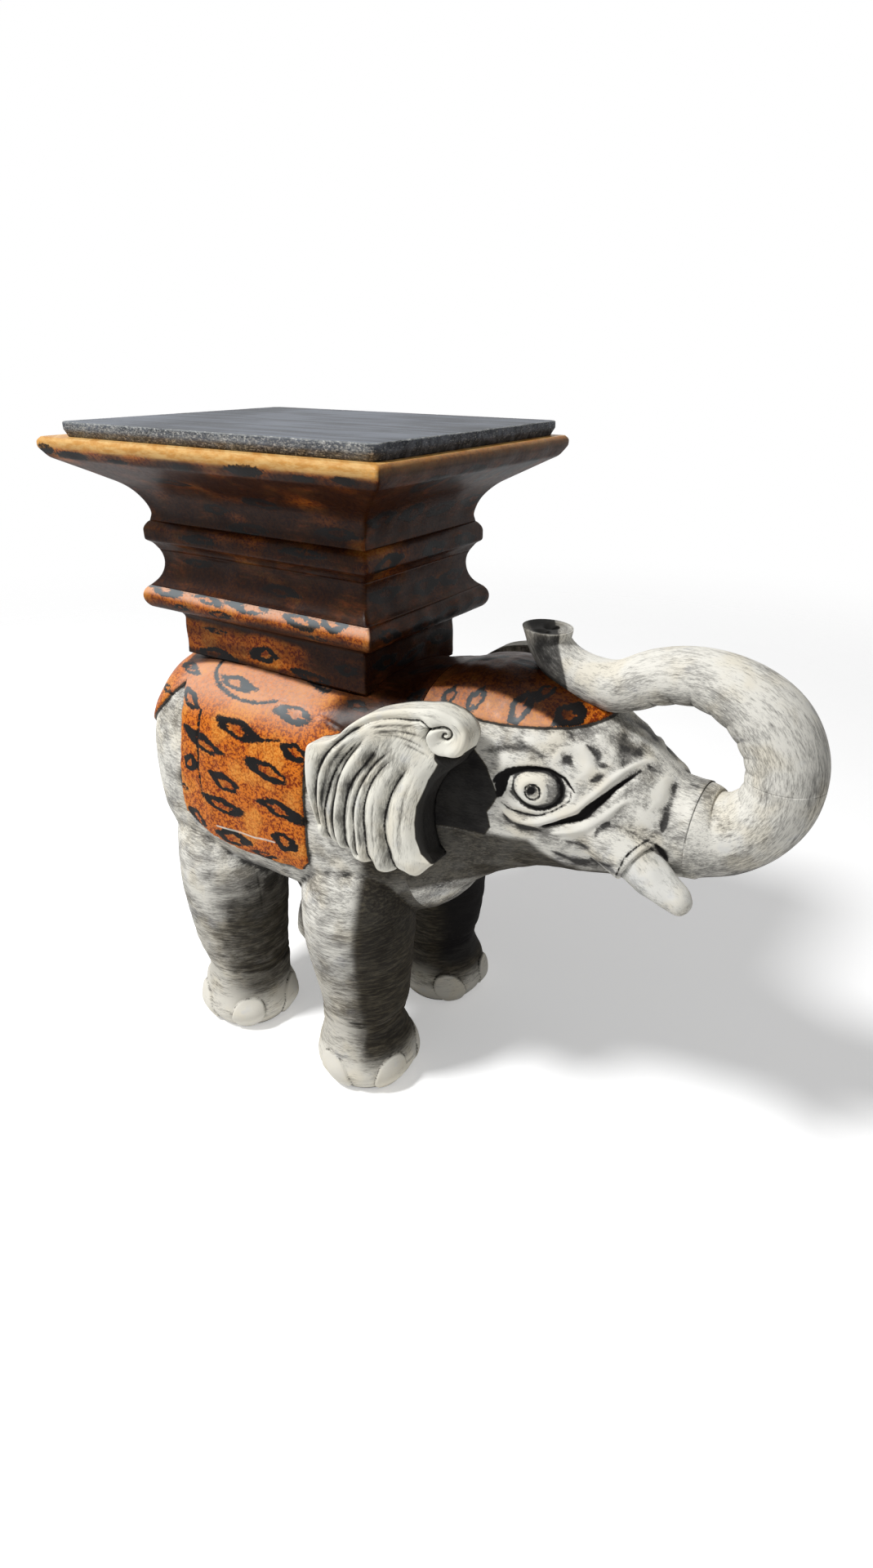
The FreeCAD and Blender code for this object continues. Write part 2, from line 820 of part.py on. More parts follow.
def build():
    far = trunk_reach + root_x + overrun
    front_leg = leg(front_foot_x, front_leg_shares, front_haunch_shares)
    rear_leg = leg(rear_foot_x, rear_leg_shares, rear_haunch_shares)
    above = block(-far, far, -far, far, leg_height, total_height)
    below = block(-far, far, -far, far, 0, leg_height)
    torso_side = block(-far, neck_x, -far, far, leg_height, saddle_height * 2)
    head_side = block(neck_x, root_x, -far, far, leg_height, saddle_height * 2)

    setback = Vec(-left_front_setback, 0, 0)
    haunches = [limb.common(above) for limb in (front_leg, rear_leg)]
    haunches += [mirrored(limb) for limb in haunches]
    haunches[0].translate(setback)
    blanket = relief_panel(blanket_outline_shares, blanket_relief)
    cloth = relief_panel(cloth_outline_shares, cloth_relief)
    plain_hull = hull(0)

    half_seat_x = plinth_length / 2 + seat_clearance
    half_seat_y = plinth_width / 2 + seat_clearance
    seat = block(-half_seat_x, half_seat_x, -half_seat_y, half_seat_y, saddle_height, total_height)
    torso = plain_hull.common(torso_side).fuse([limb.common(torso_side) for limb in haunches])
    torso = torso.fuse([blanket.common(torso_side), cloth.common(torso_side)]).cut(seat)

    sheath = tusk_run(sheath_profile_shares, tusk_radius + tusk_gum)
    socket = tusk_peg(tusk_peg_side + 2 * peg_clearance, tusk_socket_depth + peg_clearance, tusk_length)
    head = plain_hull.common(head_side).fuse([cloth.common(head_side), sheath, mirrored(sheath)])
    head = carve_eye(head)
    head = mirrored(carve_eye(mirrored(head)))
    bed = tusk_run(tusk_profile_shares, tusk_radius + peg_clearance)
    head = head.cut([socket, mirrored(socket), bed, mirrored(bed), seat])
    carrier = torso.fuse(head)

    pegs = {
        "slab_pegs": slab_pegs(), "pedestal_pegs": pedestal_pegs(), "flank_pegs": flank_pegs(),
        "leg_pegs": leg_pegs(), "head_pegs": head_pegs(), "trunk_pegs": trunk_pegs(),
        "ear_pegs": ear_pegs(), "tail_peg": tail_pegs(),
    }
    nodes = {name: Part.makeCompound([peg(*place) for place in group]) for name, group in pegs.items()}

    nodes["top_slab"] = bored(top_slab(), pegs["slab_pegs"])
    for name, moulding in pedestal().items():
        nodes[name] = bored(moulding, pegs["slab_pegs"] + pegs["pedestal_pegs"])

    half = core_width / 2
    core_space = block(-far, far, -half, half, 0, total_height)
    right_space = block(-far, far, -far, -half, 0, total_height)
    torso_pegs = (pegs["pedestal_pegs"] + pegs["flank_pegs"] + pegs["leg_pegs"]
                  + pegs["head_pegs"] + pegs["ear_pegs"] + pegs["tail_peg"])
    nodes["torso_core"] = largest(bored(torso.common(core_space), torso_pegs))
    nodes["right_flank"] = largest(bored(torso.common(right_space), torso_pegs))
    nodes["left_flank"] = largest(bored(torso.common(mirrored(right_space)), torso_pegs))
    nodes["head_block"] = largest(bored(head, pegs["head_pegs"] + pegs["trunk_pegs"]))

    limbs = (("front", front_leg, front_foot_x, front_toenail_angles_deg),
             ("rear", rear_leg, rear_foot_x, rear_toenail_angles_deg))
    for name, limb, foot_x, angles_deg in limbs:
        lower = limb.common(below).fuse([nail.common(below) for nail in toenails(foot_x, angles_deg)])
        nodes[name + "_right_leg"] = largest(bored(mirrored(lower), pegs["leg_pegs"]))
        if limb is front_leg:
            lower.translate(setback)
        nodes[name + "_left_leg"] = largest(bored(lower, pegs["leg_pegs"]))

    tube = trunk_tube()
    joint = curl_joint()
    upper_space = block(root_x, far, -far, far, joint.z, total_height).fuse(
        block(-far, root_x, -far, far, trunk_root_height(), total_height))
    nodes["trunk_lower"] = largest(bored(tube.cut(upper_space), pegs["trunk_pegs"]))
    nodes["trunk_upper"] = largest(bored(tube.common(upper_space).cut(head), pegs["trunk_pegs"]))

    nodes["right_ear"] = largest(bored(ear(carrier), pegs["ear_pegs"]))
    nodes["left_ear"] = mirrored(nodes["right_ear"])
    nodes["right_tusk"] = tusk()
    nodes["left_tusk"] = mirrored(nodes["right_tusk"])
    nodes["tail"] = largest(bored(tail().cut(torso), pegs["tail_peg"]))
    return {name: shape.removeSplitter() for name, shape in nodes.items()}


def main():
    os.makedirs("parts", exist_ok=True)
    nodes = build()
    whole = Part.makeCompound(list(nodes.values())).optimalBoundingBox()
    to_origin = Vec(-(whole.XMin + whole.XMax) / 2, -(whole.YMin + whole.YMax) / 2, -whole.ZMin)
    for name, shape in nodes.items():
        shape.translate(to_origin)
        shape.exportStep("parts/" + name + ".step")
        print(name, "solids", len(shape.Solids), "volume", round(shape.Volume / 1000, 1), "cm3",
              "valid", shape.isValid())
    print("overall", round(whole.XLength, 1), round(whole.YLength, 1), round(whole.ZLength, 1))


main()
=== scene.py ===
import math
import bmesh
import bpy
import numpy as np
from mathutils import Matrix, Vector


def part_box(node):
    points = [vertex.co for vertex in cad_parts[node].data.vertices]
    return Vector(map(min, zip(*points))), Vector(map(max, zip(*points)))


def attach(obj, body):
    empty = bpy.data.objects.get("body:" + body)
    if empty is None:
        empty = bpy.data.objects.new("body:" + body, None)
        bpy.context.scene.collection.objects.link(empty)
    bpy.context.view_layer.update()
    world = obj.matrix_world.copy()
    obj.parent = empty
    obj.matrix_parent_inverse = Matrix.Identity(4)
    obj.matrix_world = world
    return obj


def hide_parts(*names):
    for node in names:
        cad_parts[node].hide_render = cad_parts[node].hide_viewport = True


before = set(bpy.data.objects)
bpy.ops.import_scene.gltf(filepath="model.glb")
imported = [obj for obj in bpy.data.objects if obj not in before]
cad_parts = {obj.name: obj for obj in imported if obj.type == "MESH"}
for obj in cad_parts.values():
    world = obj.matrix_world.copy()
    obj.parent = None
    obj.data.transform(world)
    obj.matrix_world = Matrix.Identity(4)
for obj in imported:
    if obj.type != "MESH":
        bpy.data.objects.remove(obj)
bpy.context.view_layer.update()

# Carved elephant stool: painted wood, carved by hand.
# Everything is worked out in millimetres from the middle of the pedestal, +X to the head, and moved
# into the frame when its mesh is made.

plinthLow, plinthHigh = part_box("plinth")
stoolCentre = (plinthLow.x + plinthHigh.x) / 2

noInk = -6.0  # depth inside a brush mark, in millimetres, where there is none


# small tools for shapes

def toFrame(points):
    placed = np.array(points, float) / 1000
    placed[:, 0] += stoolCentre
    return placed


def smoothStep(low, high, value):
    t = np.clip((value - low) / (high - low), 0, 1)
    return t * t * (3 - 2 * t)


def throughRows(rows, count, places=2, even=True):
    # smooth curve through the rows of a table, with rows evenly spaced along it
    rows = np.array(rows, float)
    padded = np.vstack([2 * rows[0] - rows[1], rows, 2 * rows[-1] - rows[-2]])
    dense = []
    steps = np.linspace(0, 1, 24, endpoint=False)[:, None]
    for i in range(1, len(padded) - 2):
        a, b, c, d = padded[i - 1:i + 3]
        dense.append(0.5 * (2 * b + (c - a) * steps + (2 * a - 5 * b + 4 * c - d) * steps ** 2
                            + (3 * b - a - 3 * c + d) * steps ** 3))
    dense = np.vstack(dense + [rows[-1:]])
    if not even:
        return dense
    gone = runLength(dense[:, :places])
    at = np.linspace(0, gone[-1], count)
    return np.stack([np.interp(at, gone, dense[:, k]) for k in range(dense.shape[1])], 1)


def evenRing(ring, count):
    # closed loop of points, evenly spaced again
    loop = np.vstack([ring, ring[:1]])
    gone = runLength(loop)
    at = np.linspace(0, gone[-1], count, endpoint=False)
    return np.stack([np.interp(at, gone, loop[:, k]) for k in range(loop.shape[1])], 1)


def gridFaces(rows, columns, closed=True):
    r, c = np.meshgrid(np.arange(rows - 1), np.arange(columns if closed else columns - 1), indexing="ij")
    n = (c + 1) % columns
    return np.stack([r * columns + c, r * columns + n, (r + 1) * columns + n, (r + 1) * columns + c],
                    -1).reshape(-1, 4)


def runLength(line):
    # length from the start of a line of points to each of them
    return np.concatenate([[0], np.cumsum(np.linalg.norm(np.diff(line, axis=0), axis=1))])


def endCaps(rows, count, turned=False):
    # rings of points that close the two ends of a tube
    first, last = np.arange(count), np.arange(count) + (rows - 1) * count
    return [first, last[::-1]] if turned else [first[::-1], last]


def vertexNormals(points, faces):
    corner = points[faces]
    across = np.cross(corner[:, 2] - corner[:, 0], corner[:, 3] - corner[:, 1])
    total = np.zeros_like(points)
    for k in range(3):
        total[:, k] = np.bincount(faces.ravel(), np.repeat(across[:, k], 4), len(points))
    return total / np.maximum(np.linalg.norm(total, axis=1), 1e-9)[:, None]


def relaxed(points, faces, times, amount=0.5):
    # each point moves towards the middle of its neighbours
    a = faces.ravel()
    b = np.roll(faces, -1, axis=1).ravel()
    count = np.bincount(a, minlength=len(points)) + np.bincount(b, minlength=len(points))
    out = points.copy()
    for _ in range(times):
        mean = np.stack([np.bincount(a, out[b, k], len(points)) + np.bincount(b, out[a, k], len(points))
                         for k in range(3)], 1) / np.maximum(count, 1)[:, None]
        out += (mean - out) * amount
    return out


def hollowness(points, faces, times=16):
    # millimetres by which a point lies in a hollow (above 0) or on a ridge (below 0)
    return ((relaxed(points, faces, times) - points) * vertexNormals(points, faces)).sum(1)


def calmEnds(hollow, count):
    # open ends of a tube read as hollow: they take the value found a little way in
    rows = hollow.reshape(-1, count).copy()
    rows[:9], rows[-9:] = rows[9], rows[-10]
    return rows.ravel()


def ripple(points, size, seed, waves=14):
    # slow unevenness of a hand-cut surface, about -1 to 1
    rng = np.random.default_rng(seed)
    ways = rng.normal(size=(waves, 3))
    ways *= (2 * math.pi / size) / np.linalg.norm(ways, axis=1)[:, None]
    return np.sin(points @ ways.T + rng.uniform(0, 2 * math.pi, waves)).sum(1) / math.sqrt(waves)


def lineDistance(points, line):
    # nearest distance from points to a chain of segments, in two or three dimensions
    line = np.array(line, float)
    best = np.full(len(points), 1e9)
    for a, b in zip(line, line[1:]):
        run = b - a
        t = np.clip(((points - a) @ run) / max(run @ run, 1e-9), 0, 1)
        best = np.minimum(best, np.linalg.norm(points - a - t[:, None] * run, axis=1))
    return best


def lineDistanceAlong(points, line):
    # the same, with how far along the chain the nearest point is, 0 to 1
    line = np.array(line, float)
    lengths = np.linalg.norm(np.diff(line, axis=0), axis=1)
    before = np.concatenate([[0], np.cumsum(lengths)])
    best, where = np.full(len(points), 1e9), np.zeros(len(points))
    for i, (a, b) in enumerate(zip(line, line[1:])):
        run = b - a
        t = np.clip(((points - a) @ run) / max(run @ run, 1e-9), 0, 1)
        d = np.linalg.norm(points - a - t[:, None] * run, axis=1)
        near = d < best
        best[near] = d[near]
        where[near] = (before[i] + t[near] * lengths[i]) / before[-1]
    return best, where


def insideOutline(points, outline):
    # signed distance to a closed outline in a plane, above 0 inside
    outline = np.array(outline, float)
    best = lineDistance(points, np.vstack([outline, outline[:1]]))
    inside = np.zeros(len(points), bool)
    for a, b in zip(outline, np.roll(outline, -1, axis=0)):
        if a[1] == b[1]:
            continue
        crosses = (points[:, 1] >= min(a[1], b[1])) & (points[:, 1] < max(a[1], b[1]))
        x = a[0] + (points[:, 1] - a[1]) * (b[0] - a[0]) / (b[1] - a[1])
        inside ^= crosses & (points[:, 0] < x)
    return np.where(inside, best, -best)


def spotInk(points, normals, spots):
    # brushed rings: (centre, outward, long way, half length, half width, seed), above 0 in the ink
    ink = np.full(len(points), noInk)
    heart = np.full(len(points), noInk)
    for centre, outward, along, halfLong, halfWide, seed in spots:
        rng = np.random.default_rng(seed)
        outward = np.array(outward, float) / np.linalg.norm(outward)
        along = np.array(along, float)
        along = along - outward * (along @ outward)
        along /= np.linalg.norm(along)
        across = np.cross(outward, along)
        offset = points - np.array(centre, float)
        near = (np.linalg.norm(offset, axis=1) < 1.6 * halfLong + 4) & (normals @ outward > 0.05)
        u, v = offset[near] @ along / halfLong, offset[near] @ across / halfWide
        v = v + rng.uniform(-0.22, 0.22) * u * u
        angle = np.arctan2(v, u)
        wobble = 0.08 * np.sin(2 * angle + rng.uniform(0, 6)) + 0.07 * np.sin(5 * angle + rng.uniform(0, 6))
        size = (np.abs(u) ** 1.35 + np.abs(v) ** 1.7) ** 0.66 + wobble
        core = rng.uniform(0.40, 0.50)
        thick = (0.5 + 0.14 * np.sin(angle + rng.uniform(0, 6))) * (1 - core) * 1.15
        value = (thick - np.abs(size - (1 + core) / 2)) * halfWide
        gap = np.exp(-((np.angle(np.exp(1j * (angle - rng.uniform(-1.4, 0.4))))) / 0.24) ** 2)
        value -= gap * rng.uniform(0.1, 0.6) * halfWide * 0.5
        ink[near] = np.maximum(ink[near], value)
        heart[near] = np.maximum(heart[near], (core - size) * halfWide)
    return ink, heart


def taperedMarks(points, marks):
    # cuts and brush marks along lines: ((half widths at start, middle, end), depth, ink, tone with painted
    # light and shade, line)
    lift, ink, toneAndShading = np.zeros(len(points)), np.full(len(points), noInk), np.zeros(len(points))
    for widths, depth, inked, shade, line in marks:
        smooth = throughRows(line, 0, even=False)[::6]
        d, where = lineDistanceAlong(points, smooth)
        width = np.interp(where, [0, 0.18, 0.5, 0.82, 1],
                          [widths[0] * 0.5, widths[0], widths[1], widths[2], widths[2] * 0.4])
        lift -= (depth * np.exp(-(d / width) ** 2) * smoothStep(0, 0.12, where + 0.03)
                 * smoothStep(1.03, 0.9, where))
        if inked:
            ink = np.maximum(ink, width * inked - d)
        toneAndShading += shade * np.exp(-(d / (width * 1.25)) ** 2)
    return lift, ink, np.clip(toneAndShading, -1.4, 1.2)


def makePiece(name, points, faces, nodes, material, caps=(), marks=None, flow=None):
    mesh = bpy.data.meshes.new(name)
    mesh.from_pydata(toFrame(points).tolist(), [], faces.tolist() + [list(map(int, cap)) for cap in caps])
    smooth = np.ones(len(mesh.polygons), bool)
    smooth[len(faces):] = False
    mesh.polygons.foreach_set("use_smooth", smooth)
    for key, values in (marks or {}).items():
        layer = mesh.attributes.new(key, "FLOAT", "POINT")
        layer.data.foreach_set("value", np.asarray(values, np.float32))
    if flow is not None:
        layer = mesh.attributes.new("flow", "FLOAT_VECTOR", "POINT")
        layer.data.foreach_set("vector", np.asarray(flow, np.float32).ravel())
    mesh.validate()
    mesh.update()
    piece = bpy.data.objects.new(name, mesh)
    bpy.context.scene.collection.objects.link(piece)
    piece.data.materials.append(material)
    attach(piece, "root")
    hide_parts(*nodes)
    return piece


def makePair(kind, ending, points, faces, material, caps, marks, strokes):
    # the right piece, and the left one as its mirror image
    makePiece("right_" + kind + ending, points, faces, ["right_" + kind], material, caps, marks,
              strokes)
    mirrored = [cap[::-1] for cap in caps]
    makePiece("left_" + kind + ending, points * [1, -1, 1], faces[:, ::-1], ["left_" + kind],
              material,
              mirrored, marks, strokes)


# materials: effects shared between finishes are node groups

def newGroup(name, inputs, outputs):
    group = bpy.data.node_groups.new(name, "ShaderNodeTree")
    for label, kind, value in inputs:
        socket = group.interface.new_socket(label, in_out="INPUT", socket_type="NodeSocket" + kind)
        if value is not None:
            socket.default_value = value
    for label, kind in outputs:
        group.interface.new_socket(label, in_out="OUTPUT", socket_type="NodeSocket" + kind)
    return group, group.nodes.new("NodeGroupInput"), group.nodes.new("NodeGroupOutput")


class Wiring:
    # short ways to add and join nodes in one tree
    def __init__(self, tree):
        self.tree = tree

    def put(self, kind, inputs=None, **settings):
        node = self.tree.nodes.new("ShaderNode" + kind)
        for key, value in settings.items():
            setattr(node, key, value)
        for key, value in (inputs or {}).items():
            self.feed(value, node.inputs[key])
        return node

    def feed(self, value, socket):
        if isinstance(value, bpy.types.NodeSocket):
            self.tree.links.new(value, socket)
        else:
            socket.default_value = value

    def math(self, operation, a, b=0.0, clamp=False):
        return self.put("Math", {0: a, 1: b}, operation=operation, use_clamp=clamp).outputs[0]

    def swing(self, value, amount):
        # moves a noise to both sides of nought
        return self.math("MULTIPLY", self.math("SUBTRACT", value, 0.5), amount)

    def ramp(self, value, low, high, toLow=0.0, toHigh=1.0):
        return self.put("MapRange", {"Value": value, "From Min": low, "From Max": high, "To Min": toLow,
                                     "To Max": toHigh}, interpolation_type="SMOOTHSTEP").outputs[0]

    def mix(self, share, a, b, blend="MIX"):
        node = self.put("Mix", {0: share, 6: a, 7: b}, data_type="RGBA", blend_type=blend)
        return node.outputs[2]

    def noise(self, vector, scale, detail=4.0, rough=0.55, stretch=None):
        if stretch:
            vector = self.put("Mapping", {"Vector": vector, "Scale": stretch}).outputs[0]
        node = self.put("TexNoise",
                        {"Vector": vector, "Scale": scale, "Detail": detail, "Roughness": rough})
        return node.outputs["Fac"]


def colour(red, green, blue):
    return (red, green, blue, 1.0)


def brushGroup():
    # long dry brush strokes along the flow of a piece, with a broader patchiness under them
    group, start, end = newGroup("brushStrokes", [("Flow", "Vector", None), ("Scale", "Float", 1.0)],
                                 [("Strokes", "Float"), ("Patches", "Float"), ("Fine", "Float")])
    w = Wiring(group)
    flow = start.outputs["Flow"]
    moved = w.put("VectorMath", {0: flow, 3: start.outputs["Scale"]}, operation="SCALE").outputs[0]
    w.feed(w.noise(moved, 0.5, 6.0, 0.7, (0.3, 1.0, 1.0)), end.inputs["Strokes"])
    w.feed(w.noise(moved, 0.055, 3.0, 0.5, (0.7, 1.0, 1.0)), end.inputs["Patches"])
    w.feed(w.noise(moved, 1.7, 4.0, 0.7, (0.2, 1.0, 1.0)), end.inputs["Fine"])
    return group


def washGroup(brush):
    # pale wash dragged over charcoal: light on ridges, dark in hollows, streaked and mottled by the brush;
    # PaintedShade turns it brown and black as painted shade
    group, start, end = newGroup("greyWash", [
        ("Flow", "Vector", None), ("Place", "Vector", None), ("Hollow", "Float", 0.0),
                                              ("ToneAndShading", "Float", 0.0),
        ("PaintedShade", "Float", 0.0), ("Scale", "Float", 1.0),
        ("Light", "Color", colour(0.6, 0.58, 0.5)), ("Middle", "Color", colour(0.3, 0.29, 0.26)),
        ("Dark", "Color", colour(0.028, 0.027, 0.026)), ("Cover", "Float", 0.5), ("Mottle", "Float", 0.5)],
        [("Color", "Color"), ("Roughness", "Float"), ("Height", "Float")])
    w = Wiring(group)
    i = start.outputs
    strokes = w.put("Group", node_tree=brush)
    w.feed(i["Flow"], strokes.inputs["Flow"])
    w.feed(i["Scale"], strokes.inputs["Scale"])
    streak, patch, fine = strokes.outputs
    blot = w.noise(i["Place"], 0.16, 5.0, 0.62)
    ridge = w.ramp(i["Hollow"], 0.05, -0.6)
    cover = w.math("ADD", w.swing(streak, 3.0),
                   w.swing(patch, 2.0))
    cover = w.math("ADD", cover, w.swing(fine, 2.6))
    cover = w.math("ADD", cover, w.math("MULTIPLY", i["ToneAndShading"], 0.8))
    cover = w.math("ADD", w.math("ADD", cover, i["Cover"]), w.math("MULTIPLY", ridge, 0.5), True)
    base = w.mix(cover, i["Middle"], i["Light"])
    warm = w.mix(w.ramp(w.noise(i["Place"], 0.045, 2.0), 0.46, 0.68, 0.0, 0.5), base,
                 w.mix(cover, colour(0.19, 0.165, 0.12), colour(0.80, 0.73, 0.58)))
    cool = w.mix(w.ramp(w.noise(i["Place"], 0.06, 3.0, 0.5), 0.40, 0.30, 0.0, 0.35), warm,
                 w.mix(cover, colour(0.15, 0.155, 0.175), colour(0.66, 0.67, 0.69)))
    charcoal = w.math("ADD", w.math("MULTIPLY", w.math("SUBTRACT", blot, 0.52), 2.4),
                      w.math("MULTIPLY", w.math("SUBTRACT", 0.5, streak), 1.6))
    charcoal = w.math("MULTIPLY", charcoal, i["Mottle"])
    charcoal = w.math("ADD", charcoal, w.math("MULTIPLY", i["Hollow"], 0.75))
    charcoal = w.math("SUBTRACT", charcoal, w.math("MULTIPLY", i["ToneAndShading"], 0.55))
    dark = w.ramp(charcoal, 0.12, 0.62, 0.0, 0.94)
    washed = w.mix(dark, cool, w.mix(w.ramp(fine, 0.4, 0.7), i["Dark"], colour(0.075, 0.073, 0.07)))
    # painted shade: dark brown, then black, where the stool lies in shade
    brown = w.mix(w.ramp(streak, 0.42, 0.68), colour(0.022, 0.018, 0.013), colour(0.085, 0.072, 0.048))
    black = w.mix(w.ramp(i["PaintedShade"], 0.75, 1.0), brown, colour(0.010, 0.009, 0.009))
    w.feed(w.mix(w.ramp(i["PaintedShade"], 0.0, 0.75, 0.0, 0.97), washed, black), end.inputs["Color"])
    w.feed(w.math("ADD", w.math("MULTIPLY", streak, 0.2), 0.5), end.inputs["Roughness"])
    w.feed(w.math("ADD", w.math("MULTIPLY", streak, 0.6), w.math("MULTIPLY", fine, 0.5)),
           end.inputs["Height"])
    return group


def leopardGroup(brush):
    # orange ground mottled with red-brown, black brushed rings, dark red-brown painted shadow and stain,
    # painted pale glare on top
    group, start, end = newGroup("leopardPaint", [
        ("Place", "Vector", None), ("Flow", "Vector", None), ("Hollow", "Float", 0.0),
                                                  ("Ink", "Float", noInk),
        ("Heart", "Float", noInk), ("ShadowAndStain", "Float", 0.0), ("Honey", "Float", 0.0),
                                                  ("PaintedGlare", "Float", 0.0),
        ("Ground", "Color", colour(0.68, 0.185, 0.018)), ("Mottle", "Color", colour(0.20, 0.024, 0.005)),
        ("Pale", "Color", colour(0.82, 0.38, 0.075)), ("Black", "Color", colour(0.008, 0.007, 0.007))],
        [("Color", "Color"), ("Roughness", "Float"), ("Height", "Float")])
    w = Wiring(group)
    i = start.outputs
    strokes = w.put("Group", node_tree=brush)
    w.feed(i["Flow"], strokes.inputs["Flow"])
    strokes.inputs["Scale"].default_value = 0.6
    streak = strokes.outputs["Strokes"]
    dabs = w.noise(i["Place"], 0.34, 5.0, 0.7)
    grain = w.noise(i["Place"], 0.62, 4.0, 0.75)
    broad = w.noise(i["Place"], 0.045, 3.0, 0.5)
    base = w.mix(w.ramp(w.math("ADD", dabs, w.swing(grain, 1.2)), 0.46, 0.58),
                 i["Ground"], i["Mottle"])
    base = w.mix(w.ramp(broad, 0.48, 0.62, 0.0, 0.65), base,
                 w.mix(w.ramp(grain, 0.42, 0.58), i["Pale"], i["Ground"]))
    base = w.mix(w.ramp(grain, 0.60, 0.72, 0.0, 0.6), base, i["Pale"])
    base = w.mix(i["Honey"], base,
                 w.mix(w.ramp(streak, 0.38, 0.62), colour(0.70, 0.44, 0.17), colour(0.55, 0.27, 0.07)))
    base = w.mix(w.ramp(i["Heart"], -0.5, 1.5, 0.0, 0.35), base, i["Mottle"])
    # painted shadow and stain: the paint turns near-black red-brown
    shadowColour = w.mix(w.ramp(w.math("ADD", w.math("MULTIPLY", streak, 0.7), w.math("MULTIPLY", broad, 0.5)),
                           0.60, 0.84),
                    colour(0.007, 0.0025, 0.0018), colour(0.10, 0.025, 0.008))
    base = w.mix(w.ramp(i["ShadowAndStain"], 0.0, 1.0, 0.0, 0.96), base, shadowColour)
    rough = w.swing(w.noise(i["Place"], 0.5, 5.0, 0.65), 4.2)
    inked = w.ramp(w.math("ADD", i["Ink"], rough), -0.45, 0.35)
    inked = w.math("MULTIPLY", inked, w.ramp(grain, 0.66, 0.78, 1.0, 0.55))
    # painted glare: a pale pink haze over the paint, with the rings greyed under it
    black = w.mix(w.ramp(i["PaintedGlare"], 0.0, 1.0, 0.0, 0.85), i["Black"], colour(0.20, 0.22, 0.23))
    glareHaze = w.mix(w.math("MULTIPLY", i["PaintedGlare"], w.ramp(grain, 0.32, 0.58, 0.46, 0.86)), base,
                  colour(0.78, 0.47, 0.33))
    painted = w.mix(inked, glareHaze, black)
    worn = w.math("MULTIPLY", w.ramp(i["Hollow"], -0.5, -1.3), w.ramp(grain, 0.45, 0.6))
    worn = w.math("MULTIPLY", worn, w.ramp(i["ShadowAndStain"], 0.1, 0.6, 0.5, 0.0))
    painted = w.mix(worn, painted, i["Pale"])
    deep = w.ramp(w.math("ADD", i["Hollow"], w.swing(dabs, 0.5)), 0.12, 0.75, 0.0, 0.93)
    w.feed(w.mix(deep, painted, colour(0.014, 0.005, 0.003)), end.inputs["Color"])
    w.feed(w.math("ADD", w.math("MULTIPLY", dabs, 0.25), 0.26), end.inputs["Roughness"])
    height = w.math("ADD", w.math("MULTIPLY", dabs, 0.5), w.math("MULTIPLY", inked, 0.3))
    w.feed(w.math("ADD", height, w.math("MULTIPLY", grain, 0.4)), end.inputs["Height"])
    return group


def newMaterial(name):
    material = bpy.data.materials.new(name)
    material.use_nodes = True
    material.node_tree.nodes.clear()
    w = Wiring(material.node_tree)
    shader = w.put("BsdfPrincipled")
    w.put("OutputMaterial", {"Surface": shader.outputs[0]})
    return material, w, shader


def readMark(w, name, output="Fac"):
    return w.put("Attribute", attribute_name=name).outputs[output]


def placeInMillimetres(w):
    # object coordinates, which are the frame's own, in millimetres
    return w.put("VectorMath", {0: w.put("TexCoord").outputs["Object"], 3: 1000.0},
                 operation="SCALE").outputs[0]


def bumped(w, shader, height, strength, distance):
    bump = w.put("Bump", {"Height": height, "Strength": strength, "Distance": distance})
    w.feed(bump.outputs[0], shader.inputs["Normal"])


def groupNode(w, group, inputs):
    node = w.put("Group", node_tree=group)
    for key, value in inputs.items():
        w.feed(value, node.inputs[key])
    return node


washLook = {
    "legs": dict(light=(0.78, 0.75, 0.67), middle=(0.25, 0.235, 0.205), cover=0.48, mottle=0.36,
                 scale=1.35),
    "ears": dict(light=(0.86, 0.84, 0.75), middle=(0.32, 0.31, 0.275), cover=0.58, mottle=0.30, scale=1.3),
    "trunk": dict(light=(0.84, 0.82, 0.75), middle=(0.28, 0.27, 0.25), cover=0.54, mottle=0.24, scale=1.25),
    "tail": dict(light=(0.55, 0.53, 0.46), middle=(0.18, 0.17, 0.15), cover=0.38, mottle=0.5, scale=1.2),
    "tusks": dict(light=(0.86, 0.85, 0.80), middle=(0.50, 0.50, 0.46), cover=0.66, mottle=0.16, scale=1.5),
}


def washMaterial(name, wash, look):
    material, w, shader = newMaterial(name)
    place = placeInMillimetres(w)
    ink = w.ramp(w.math("ADD", readMark(w, "ink"),
                        w.swing(w.noise(place, 0.7), 1.6)), -0.4, 0.5)
    coat = groupNode(w, wash, {"Flow": readMark(w, "flow", "Vector"), "Place": place,
                               "Hollow": readMark(w, "hollow"),
                               "ToneAndShading": readMark(w, "toneAndShading"), "PaintedShade": readMark(w, "paintedShade"),
                               "Scale": look["scale"], "Light": colour(*look["light"]),
                               "Middle": colour(*look["middle"]), "Cover": look["cover"],
                               "Mottle": look["mottle"]})
    w.feed(w.mix(ink, coat.outputs["Color"], colour(0.014, 0.013, 0.012)), shader.inputs["Base Color"])
    w.feed(coat.outputs["Roughness"], shader.inputs["Roughness"])
    shader.inputs["Specular IOR Level"].default_value = 0.06
    bumped(w, shader, coat.outputs["Height"], 0.45, 0.0007)
    return material


